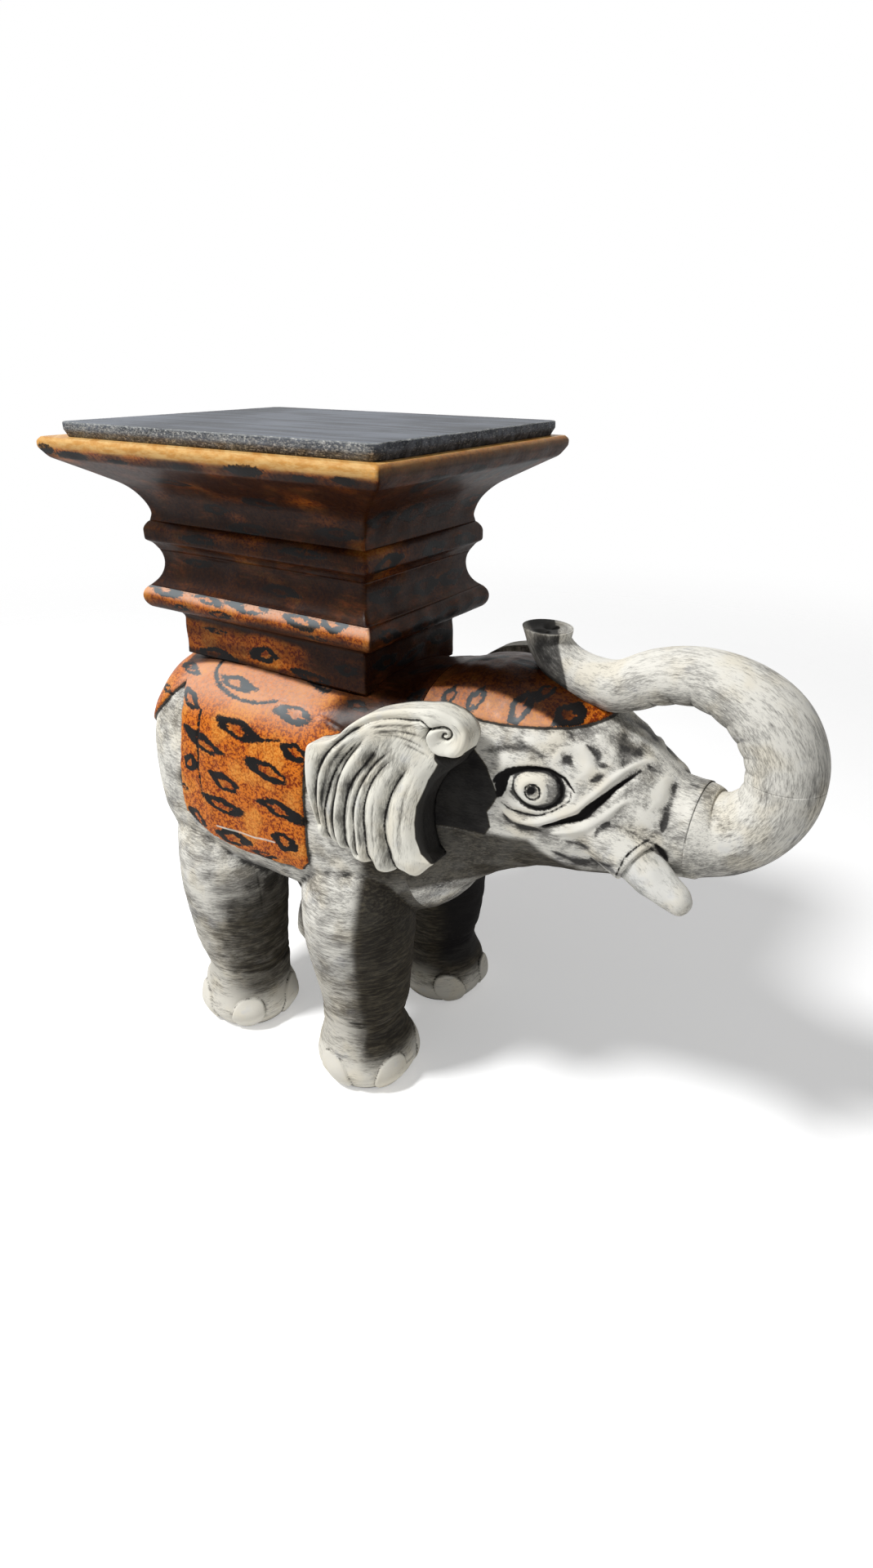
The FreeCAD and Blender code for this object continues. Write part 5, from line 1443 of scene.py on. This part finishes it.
            # the dished end face is painted dark as shade
            toneAndShading -= 0.75 * (ring > first + 1)
            holes = np.hypot((np.abs(points[:, 1]) - trunk["nostril"][0]) / 1.1,
                             (points - centre) @ np.array([-up[2], 0, up[0]]) * -1 - trunk["nostril"][1])
            ink = np.where(ring > first + 3, trunk["nostrilSize"] * 0.85 - holes, ink)
            ink = np.maximum(ink, np.where(ring > first - 4, 0.1 - np.abs(ring - first - 1.0) * 0.5, noInk))
            hollow = np.where(ring > first, 0.1, hollow)
        caps = endCaps(rows, count, turned=True)
        makePiece(name + ".carved", points, faces, [name], materials["trunk"], caps,
                  {"hollow": hollow, "ink": ink, "toneAndShading": toneAndShading}, strokes.reshape(-1, 3))
    print("trunk made")


# ear: worked out in shares of its length and height, then placed on the side of the head

ear = {
    "length": 110.2, "height": 124.0, "backAt": 118.0, "backShare": 0.517, "base": 202.1, "dip": 10.2,
    "proud": 94.0, "lean": 20.0, "thick": 14.5, "middle": (0.45, 0.50),
    "outline": [(0.02, 0.58), (0.10, 0.625), (0.195, 0.67), (0.30, 0.766), (0.43, 0.855), (0.59, 0.915),
                (0.715, 0.945), (0.80, 0.962), (0.876, 0.951),
                (0.94, 0.928), (0.978, 0.885), (0.985, 0.845), (0.972, 0.80), (0.945, 0.765),
                (0.915, 0.72), (0.890, 0.685),
                (0.82, 0.625), (0.765, 0.548), (0.728, 0.458), (0.715, 0.37), (0.72, 0.274),
                (0.745, 0.188), (0.785, 0.14),
                (0.75, 0.10), (0.70, 0.045), (0.655, 0.030), (0.605, 0.035), (0.545, 0.022), (0.52, 0.0),
                (0.48, -0.012), (0.43, -0.012),
                (0.392, 0.012), (0.345, 0.008), (0.285, 0.018), (0.243, 0.046), (0.20, 0.045),
                (0.165, 0.055), (0.11, 0.065), (0.06, 0.10), (0.03, 0.22),
                (0.004, 0.40)],
    # valley between ribs, line along the crown or fine line; half width, depth, line
    "grooves": [
        ("valley", 3.0, 4.6, [(0.40, 0.745), (0.294, 0.637), (0.215, 0.536), (0.15, 0.403),
                              (0.112, 0.265), (0.108, 0.177), (0.12, 0.05)]),
        ("valley", 1.5, 2.6, [(0.452, 0.776), (0.359, 0.684), (0.285, 0.60), (0.218, 0.485),
                              (0.176, 0.356), (0.158, 0.221), (0.16, 0.12), (0.17, 0.04)]),
        ("valley", 2.9, 4.3, [(0.53, 0.755), (0.466, 0.69), (0.382, 0.58), (0.304, 0.477), (0.256, 0.364),
                              (0.232, 0.237), (0.23, 0.149), (0.244, 0.03)]),
        ("valley", 2.7, 3.9, [(0.606, 0.69), (0.535, 0.633), (0.462, 0.559), (0.404, 0.462),
                              (0.372, 0.362), (0.363, 0.249), (0.371, 0.12), (0.392, 0.0)]),
        ("valley", 3.0, 4.5, [(0.70, 0.68), (0.622, 0.60), (0.568, 0.522), (0.52, 0.419), (0.49, 0.31),
                              (0.491, 0.199), (0.516, 0.102), (0.538, 0.0)]),
        ("valley", 1.4, 2.6, [(0.52, 0.865), (0.40, 0.795), (0.27, 0.70), (0.16, 0.59), (0.085, 0.44),
                              (0.058, 0.28), (0.062, 0.15)]),
        ("fine", 1.0, 0.8, [(0.345, 0.735), (0.25, 0.635), (0.175, 0.53), (0.118, 0.40), (0.09, 0.27),
                            (0.09, 0.12)]),
        ("valley", 1.5, 2.6, [(0.61, 0.74), (0.55, 0.70), (0.43, 0.585), (0.345, 0.45), (0.305, 0.33),
                              (0.295, 0.20), (0.31, 0.05)]),
        ("fine", 1.1, 0.7, [(0.72, 0.63), (0.655, 0.52), (0.615, 0.40), (0.60, 0.27), (0.615, 0.13)]),
        ("crown", 1.5, 2.0, [(0.37, 0.775), (0.43, 0.812), (0.50, 0.845), (0.58, 0.868), (0.66, 0.880),
                             (0.728, 0.894), (0.765, 0.885), (0.782, 0.866)]),
        ("fine", 0.8, 0.7, [(0.40, 0.775), (0.50, 0.812), (0.60, 0.838), (0.70, 0.856), (0.755, 0.85)]),
        ("fine", 0.8, 0.6, [(0.44, 0.765), (0.54, 0.795), (0.64, 0.815), (0.73, 0.815), (0.775, 0.79)]),
        ("fine", 0.7, 0.5, [(0.52, 0.775), (0.60, 0.785), (0.70, 0.775), (0.78, 0.745)]),
        ("fine", 0.7, 0.5, [(0.62, 0.76), (0.70, 0.745), (0.80, 0.72)]),
        ("fine", 0.7, 0.4, [(0.20, 0.42), (0.165, 0.30), (0.155, 0.18)]),
        ("fine", 0.7, 0.4, [(0.345, 0.30), (0.335, 0.18), (0.35, 0.08)]),
        ("fine", 0.7, 0.4, [(0.46, 0.45), (0.43, 0.32), (0.43, 0.18), (0.45, 0.05)]),
    ],
    # drum of the scroll: its lower edge stands over a step, and a groove winds in from the cusp
    "drum": [(0.782, 0.866), (0.769, 0.825), (0.774, 0.80), (0.794, 0.767), (0.836, 0.752),
             (0.886, 0.756), (0.945, 0.768), (0.992, 0.82), (1.01, 0.90), (0.97, 0.96)],
    "wind": [(0.782, 0.866), (0.819, 0.882), (0.86, 0.892), (0.889, 0.884), (0.897, 0.863),
             (0.885, 0.842), (0.865, 0.833), (0.848, 0.841), (0.853, 0.858), (0.866, 0.860)],
    "under": [(0.80, 0.752), (0.805, 0.725), (0.825, 0.70), (0.80, 0.655), (0.765, 0.60), (0.735, 0.53),
              (0.695, 0.44), (0.685, 0.35), (0.69, 0.26),
              (0.72, 0.18), (0.80, 0.12), (0.9, 0.3), (0.9, 0.6), (1.02, 0.76), (0.945, 0.762),
              (0.886, 0.752), (0.836, 0.747)],
    "over": [(0.93, 1.0), (0.60, 1.0), (0.60, 0.90)],
    "count": 900, "rings": 118, "inkedDepth": 3,
}


earSize = np.array([ear["length"], ear["height"]])


def earPoint(along, up, out):
    x = ear["backAt"] + (along - ear["backShare"]) * ear["length"]
    z = ear["base"] + up * ear["height"] - along * ear["dip"]
    return np.stack([x, -(ear["proud"] - ear["lean"] * along + out), z], -1)


def earOutline():
    rows = np.array(ear["outline"])
    scaled = rows * earSize
    loop = np.vstack([scaled[-2:], scaled, scaled[:3]])
    dense = throughRows(loop, 0, even=False)
    span = 24
    dense = dense[2 * span:-2 * span - 1]
    return evenRing(dense, ear["count"])


def earLine(rows):
    return throughRows(np.array(rows) * earSize, 0, even=False)[::4]


def earGrooves(flat):
    # ribs rise between the grooves, which are inked or shaded by kind
    out, valley, toneAndShading = np.zeros(len(flat)), np.zeros(len(flat)), np.zeros(len(flat))
    ink = np.full(len(flat), noInk)
    for kind, width, depth, line in ear["grooves"]:
        d, where = lineDistanceAlong(flat, earLine(line))
        if kind == "valley":
            fade = smoothStep(0, 0.22, where)
        elif kind == "fine":
            fade = smoothStep(0, 0.3, where) * smoothStep(1, 0.7, where)
        else:
            fade = smoothStep(0, 0.35, where)
        out -= depth * (0.62 * np.exp(-(d / width) ** 2) + 0.55 * np.exp(-(d / (width * 2.3)) ** 2)) * fade
        if kind == "valley":
            valley = np.maximum(valley, np.exp(-(d / (1.3 * width)) ** 2) * fade)
            ink = np.maximum(ink,
                             (0.75 if depth > ear["inkedDepth"] else 0.5) * fade
                             * (0.7 + 0.6 * np.sin(where * 2.6)) - 0.25 - d)
        elif kind == "fine":
            toneAndShading -= 0.75 * np.exp(-(d / (width * 1.2)) ** 2) * fade
        else:
            ink = np.maximum(ink, 0.65 * smoothStep(0.2, 0.9, where) - d)
    return out, valley, ink, toneAndShading


def buildEars():
    edge = earOutline()
    middle = np.array(ear["middle"]) * earSize
    shares = 1 - (1 - np.linspace(0.004, 1, ear["rings"])) ** 1.15
    flat = (middle + (edge - middle)[None] * shares[:, None, None]).reshape(-1, 2)
    count = ear["count"]
    toEdge = np.maximum(insideOutline(flat, evenRing(edge, 360)), 0)
    along, up = flat[:, 0] / ear["length"], flat[:, 1] / ear["height"]
    out, valley, ink, toneAndShading = earGrooves(flat)
    out += 2.4 * smoothStep(0, 9, toEdge)
    # crown rolls over into the scroll, with fine lines drawn along it
    crown = np.array(ear["outline"][2:14]) * earSize
    toCrown = lineDistance(flat, crown)
    out += 1.8 * smoothStep(9, 3.5, toCrown) * smoothStep(0.25, 0.5, along)
    step = earLine(ear["drum"])
    inDrum = insideOutline(flat, np.vstack([step, np.array(ear["over"]) * earSize]))
    toStep = lineDistance(flat, step)
    outside = (inDrum < 0) & (up < 0.95) & (along > 0.72)
    out += smoothStep(-0.6, 0.9, inDrum) * 2.2 * smoothStep(9, 1.5, toStep)
    out -= np.where(outside, 2.8 * np.exp(-(toStep / 3.0) ** 2), 0)
    ink = np.maximum(ink, np.where(outside, 1.25 - toStep, noInk))
    # painted shade below the step of the scroll
    toneAndShading -= np.where(outside, 0.9 * np.exp(-(toStep / 4.5) ** 2), 0)
    # the part under the scroll and the front rim lie in its shade, which is painted dark
    under = insideOutline(flat, np.array(ear["under"]) * earSize)
    d, where = lineDistanceAlong(flat, earLine(ear["wind"]))
    out -= 2.2 * np.exp(-(d / 1.2) ** 2)
    ink = np.maximum(ink, 0.6 - d)
    toneAndShading += 0.5 * smoothStep(-0.5, 1.0, inDrum) * smoothStep(0.5, 2.0, d) * smoothStep(9, 4, toStep)
    # rim rounds over
    out -= 2.2 * (1 - np.sqrt(np.clip(1 - (1 - np.clip(toEdge / 2.4, 0, 1)) ** 2, 0, 1)))
    toneAndShading += (0.48 * (1 - valley) - 0.42 * valley
             + ripple(np.column_stack([flat, flat[:, 0] * 0]), 17, 99) * 0.22)
    toneAndShading += 0.35 * smoothStep(5, 1, toEdge) * (up < 0.3)
    front = earPoint(along, up, out - 1.2)
    front[:, 1] += ripple(front, 26, 61) * 0.35
    front[:, 1] = np.maximum(front[:, 1], -(ear["proud"] + 7.0 - ear["lean"] * along))
    # side wall and back
    rows = [front.reshape(-1, count, 3)]
    rimAlong, rimUp = edge[:, 0] / ear["length"], edge[:, 1] / ear["height"]
    last = rows[0][-1]
    for depth in (1.2, 3, 5.5, 8.5, 11.5, ear["thick"]):
        ring = last.copy()
        ring[:, 1] += depth
        rows.append(ring[None])
    for share in (0.97, 0.9, 0.7, 0.4, 0.12):
        centre = last.mean(0)
        ring = centre + (last - centre) * share
        ring[:, 1] = (-(ear["proud"]
                        - ear["lean"] * (ear["backShare"] + (ring[:, 0] - ear["backAt"]) / ear["length"]))
                      + ear["thick"] + 1.0)
        rows.append(ring[None])
    grid = np.concatenate(rows)
    total = len(grid)
    points = grid.reshape(-1, 3)
    faces = gridFaces(total, count)
    hollow = hollowness(points, faces, 30)
    hollow[len(flat):] = 0
    extra = len(points) - len(flat)
    # painted shade: the part under the scroll and the side wall of the front rim are black-brown
    dark = np.zeros((total - ear["rings"], count))
    dark[:, (rimAlong > 0.68) & (rimUp < 0.79) & (rimUp > 0.10)] = 1.0
    paintedShade = np.concatenate([smoothStep(-0.5, 0.7, under), dark.ravel()])
    ink = np.concatenate([ink, np.full(extra, noInk)])
    # the side wall is painted paler round the upper half of the ear and darker round the lower half and on
    # the back, as painted light and shade
    wall = np.full((total - ear["rings"], count), -0.5)
    wall[:5] = np.where(rimUp > 0.5, 0.45, -0.1)
    toneAndShading = np.concatenate([toneAndShading, wall.ravel()])
    # strokes follow the bend of the ribs
    bend = flat[:, 0] + 0.0045 * (flat[:, 1] - 30) ** 2 * np.where(flat[:, 1] > 30, -1, 0.25)
    strokes = np.column_stack([flat[:, 1] * 0.5 + flat[:, 0] * 0.12, bend, np.zeros(len(flat))])
    over = smoothStep(15, 7, toCrown)[:, None]
    strokes = (strokes * (1 - over)
               + np.column_stack([flat[:, 0] * 0.6, 40 + toCrown * 1.3, np.zeros(len(flat))]) * over)
    strokes = np.vstack([strokes,
                         np.column_stack([points[len(flat):, 0] * 0.5, points[len(flat):, 1],
                                          points[len(flat):, 2] * 0.3])])
    caps = endCaps(total, count)
    marks = {"hollow": hollow, "ink": ink, "toneAndShading": toneAndShading, "paintedShade": paintedShade}
    makePair("ear", ".carved", points, faces, materials["ears"], caps, marks, strokes)
    print("ears made", len(points))


# tusks and tail

tusks = {
    "base": (260.3, -31.9, 229.0), "way": (1, -0.14, -0.54), "length": 40.0, "radius": 13.6,
    "profile": [(-0.15, 0.98), (0.0, 1.0), (0.28, 0.92), (0.52, 0.80), (0.78, 0.66), (0.90, 0.53),
                (0.965, 0.38), (1.0, 0.16)],
    "sweep": 1.6,
}


def buildTusks():
    base, way = np.array(tusks["base"]), np.array(tusks["way"], float)
    way /= np.linalg.norm(way)
    across = np.array([0, 1.0, 0]) - way * way[1]
    across /= np.linalg.norm(across)
    up = np.cross(way, across)
    table = throughRows(np.array(tusks["profile"]) * [tusks["length"], tusks["radius"]], 80)
    a = np.linspace(0, 2 * math.pi, 110, endpoint=False)
    rows = []
    for reach, radius in table:
        t = np.clip(reach / tusks["length"], 0, 1)
        centre = base + way * reach + up * (tusks["sweep"] * (t * t - t))
        radius = min(radius, tusks["radius"]) - 0.15
        rows.append(centre + across * radius * np.cos(a)[:, None] + up * radius * np.sin(a)[:, None])
    points = np.stack(rows).reshape(-1, 3)
    faces = gridFaces(len(rows), len(a))
    normals = vertexNormals(points, faces)
    points = points - normals * (0.25 - 0.25 * ripple(points, 12, 71))[:, None]
    reach = np.repeat(table[:, 0], len(a))
    hollow = np.where(reach < 2.5, 0.4 * (1 - reach.clip(0, 2.5) / 2.5), hollowness(points, faces, 10))
    toneAndShading = 0.35 + ripple(points, 15, 72) * 0.2 + ripple(points, 6, 73) * 0.2
    # the underside is painted darker as shade; the root is also darker
    toneAndShading -= 0.8 * smoothStep(-0.1, -0.8, normals[:, 2]) + 0.5 * smoothStep(3.0, 0.5, reach)
    strokes = np.column_stack([reach, (points - base) @ across, (points - base) @ up])
    caps = endCaps(len(rows), len(a))
    marks = {"hollow": hollow, "ink": np.full(len(reach), noInk), "toneAndShading": toneAndShading}
    makePair("tusk", ".turned", points, faces, materials["tusks"], caps, marks, strokes)
    print("tusks made")


tail = {
    # out from the rump, height, radius
    "rows": [(-120.9, 251.0, 6.0), (-126.9, 239.8, 6.9), (-128.7, 211.8, 5.7), (-126.9, 181.6, 5.1),
             (-126.3, 163.0, 7.4), (-126.9, 148.0, 7.4), (-127.0, 141.5, 4.0), (-127.0, 139.6, 1.0)],
    "strands": 9,
}


def buildTail():
    line = throughRows(tail["rows"], 130)
    run = np.gradient(line[:, :2], axis=0)
    run /= np.linalg.norm(run, axis=1)[:, None]
    side = np.column_stack([-run[:, 1], run[:, 0]])
    a = np.linspace(0, 2 * math.pi, 72, endpoint=False)
    gone = np.linspace(0, 1, len(line))[:, None]
    twist = a[None] * tail["strands"] + gone * 9
    cut = 0.5 * smoothStep(0.58, 0.70, gone) * (np.abs(np.sin(twist / 2)) - 0.6)
    r = (line[:, 2:3] - 0.4) * (1 + cut * 0.35) + 0.25 * np.sin(gone * 60) * smoothStep(0.6, 0.5, gone)
    r = np.minimum(r, line[:, 2:3])
    points = np.stack([line[:, :1] + side[:, :1] * r * np.cos(a), r * np.sin(a), line[:, 1:2]
                       + side[:, 1:2] * r * np.cos(a)], -1).reshape(-1, 3)
    faces = gridFaces(len(line), len(a))[:, ::-1]
    hollow = hollowness(points, faces, 12)
    strokes = np.column_stack([points[:, 2], points[:, 0], points[:, 1]])
    caps = endCaps(len(line), len(a), turned=True)
    makePiece("tail.carved", points, faces, ["tail"], materials["tail"], caps,
              {"hollow": hollow, "ink": np.full(len(points), noInk)}, strokes)
    print("tail made")


buildPedestal()
buildBoard()
buildBody()
buildLegs()
buildHead()
buildTrunk()
buildEars()
buildTusks()
buildTail()

pegNodes = ("slab_pegs", "pedestal_pegs", "flank_pegs", "leg_pegs", "head_pegs", "trunk_pegs", "ear_pegs",
            "tail_peg")
for nodeName in pegNodes:
    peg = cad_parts[nodeName]
    peg.data.materials.clear()
    peg.data.materials.append(bareWood)
print("pegs dressed")


# floor, light and camera

studio = {"key": 47.0, "keySize": 0.42, "keyAway": 2.2, "keyFrom": (-0.31, -0.46, 0.83), "fill": 0.24,
          "floorRadius": 2.2, "floorColour": (0.95, 0.95, 0.95), "floorPale": (0.96, 0.96, 0.96),
          "floorGlow": 0.34, "fadeFrom": 0.55, "fadeTo": 1.9}


def buildStudio():
    scene = bpy.context.scene
    world = bpy.data.worlds.new("studioWorld")
    scene.world = world
    world.use_nodes = True
    world.node_tree.nodes.clear()
    w = Wiring(world.node_tree)
    path = w.put("LightPath")
    seen = w.math("MAXIMUM", path.outputs["Is Camera Ray"], path.outputs["Is Transmission Ray"])
    seen = w.math("MAXIMUM", seen, path.outputs["Is Glossy Ray"])
    level = w.math("ADD", studio["fill"], w.math("MULTIPLY", seen, 1.0 - studio["fill"]))
    sky = w.put("Background", {"Color": colour(1, 1, 1), "Strength": level})
    w.put("OutputWorld", {"Surface": sky.outputs[0]})

    bpy.ops.mesh.primitive_circle_add(vertices=96, radius=studio["floorRadius"], fill_type="NGON",
                                      location=(0, 0, 0))
    floor = bpy.context.object
    floor.name = "floor"
    material, w, shader = newMaterial("paleFloor")
    shader.inputs["Roughness"].default_value = 0.9
    shader.inputs["Specular IOR Level"].default_value = 0.1
    grain = w.noise(placeInMillimetres(w), 0.01, 3.0)
    w.feed(w.mix(w.ramp(grain, 0.3, 0.7), colour(*studio["floorColour"]), colour(*studio["floorPale"])),
           shader.inputs["Base Color"])
    path = w.put("LightPath")
    shader.inputs["Emission Color"].default_value = colour(1, 1, 1)
    away = w.put("VectorMath", {0: w.put("TexCoord").outputs["Object"]},
                 operation="LENGTH").outputs["Value"]
    w.feed(w.math("MULTIPLY", path.outputs["Is Camera Ray"], studio["floorGlow"]),
           shader.inputs["Emission Strength"])
    fade = w.ramp(away, studio["fadeFrom"], studio["fadeTo"], 1.0, 0.0)
    w.feed(fade, shader.inputs["Alpha"])
    floor.data.materials.append(material)

    key = bpy.data.lights.new("key", "AREA")
    key.shape, key.size = "DISK", studio["keySize"]
    key.energy = studio["key"]
    lamp = bpy.data.objects.new("key", key)
    target = Vector((stoolCentre + 0.05, 0, 0.25))
    back = Vector(studio["keyFrom"]).normalized()
    lamp.location = target + back * studio["keyAway"]
    lamp.rotation_euler = back.to_track_quat("Z", "Y").to_euler()
    scene.collection.objects.link(lamp)

    scene.view_settings.view_transform = "Standard"


view = {"place": (402.3, -460.0, 493.8), "turn": 33.31, "dip": 26.32, "roll": 0.29, "lens": 20.145}


def buildCamera():
    turn, dip, roll = (math.radians(view[k]) for k in ("turn", "dip", "roll"))
    look = Vector((-math.sin(turn) * math.cos(dip), math.cos(turn) * math.cos(dip), -math.sin(dip)))
    right = Vector((math.cos(turn), math.sin(turn), 0))
    up = right.cross(look)
    right, up = right * math.cos(roll) + up * math.sin(roll), up * math.cos(roll) - right * math.sin(roll)
    data = bpy.data.cameras.new("camera")
    data.sensor_fit, data.sensor_width, data.lens = "AUTO", 36.0, view["lens"]
    data.clip_start, data.clip_end = 0.01, 50
    camera = bpy.data.objects.new("camera", data)
    camera.location = Vector(toFrame([view["place"]])[0])
    camera.rotation_mode = "QUATERNION"
    camera.rotation_quaternion = Matrix((right, up, -look)).transposed().to_quaternion()
    bpy.context.scene.collection.objects.link(camera)
    bpy.context.scene.camera = camera


buildStudio()
buildCamera()
print("scene made")
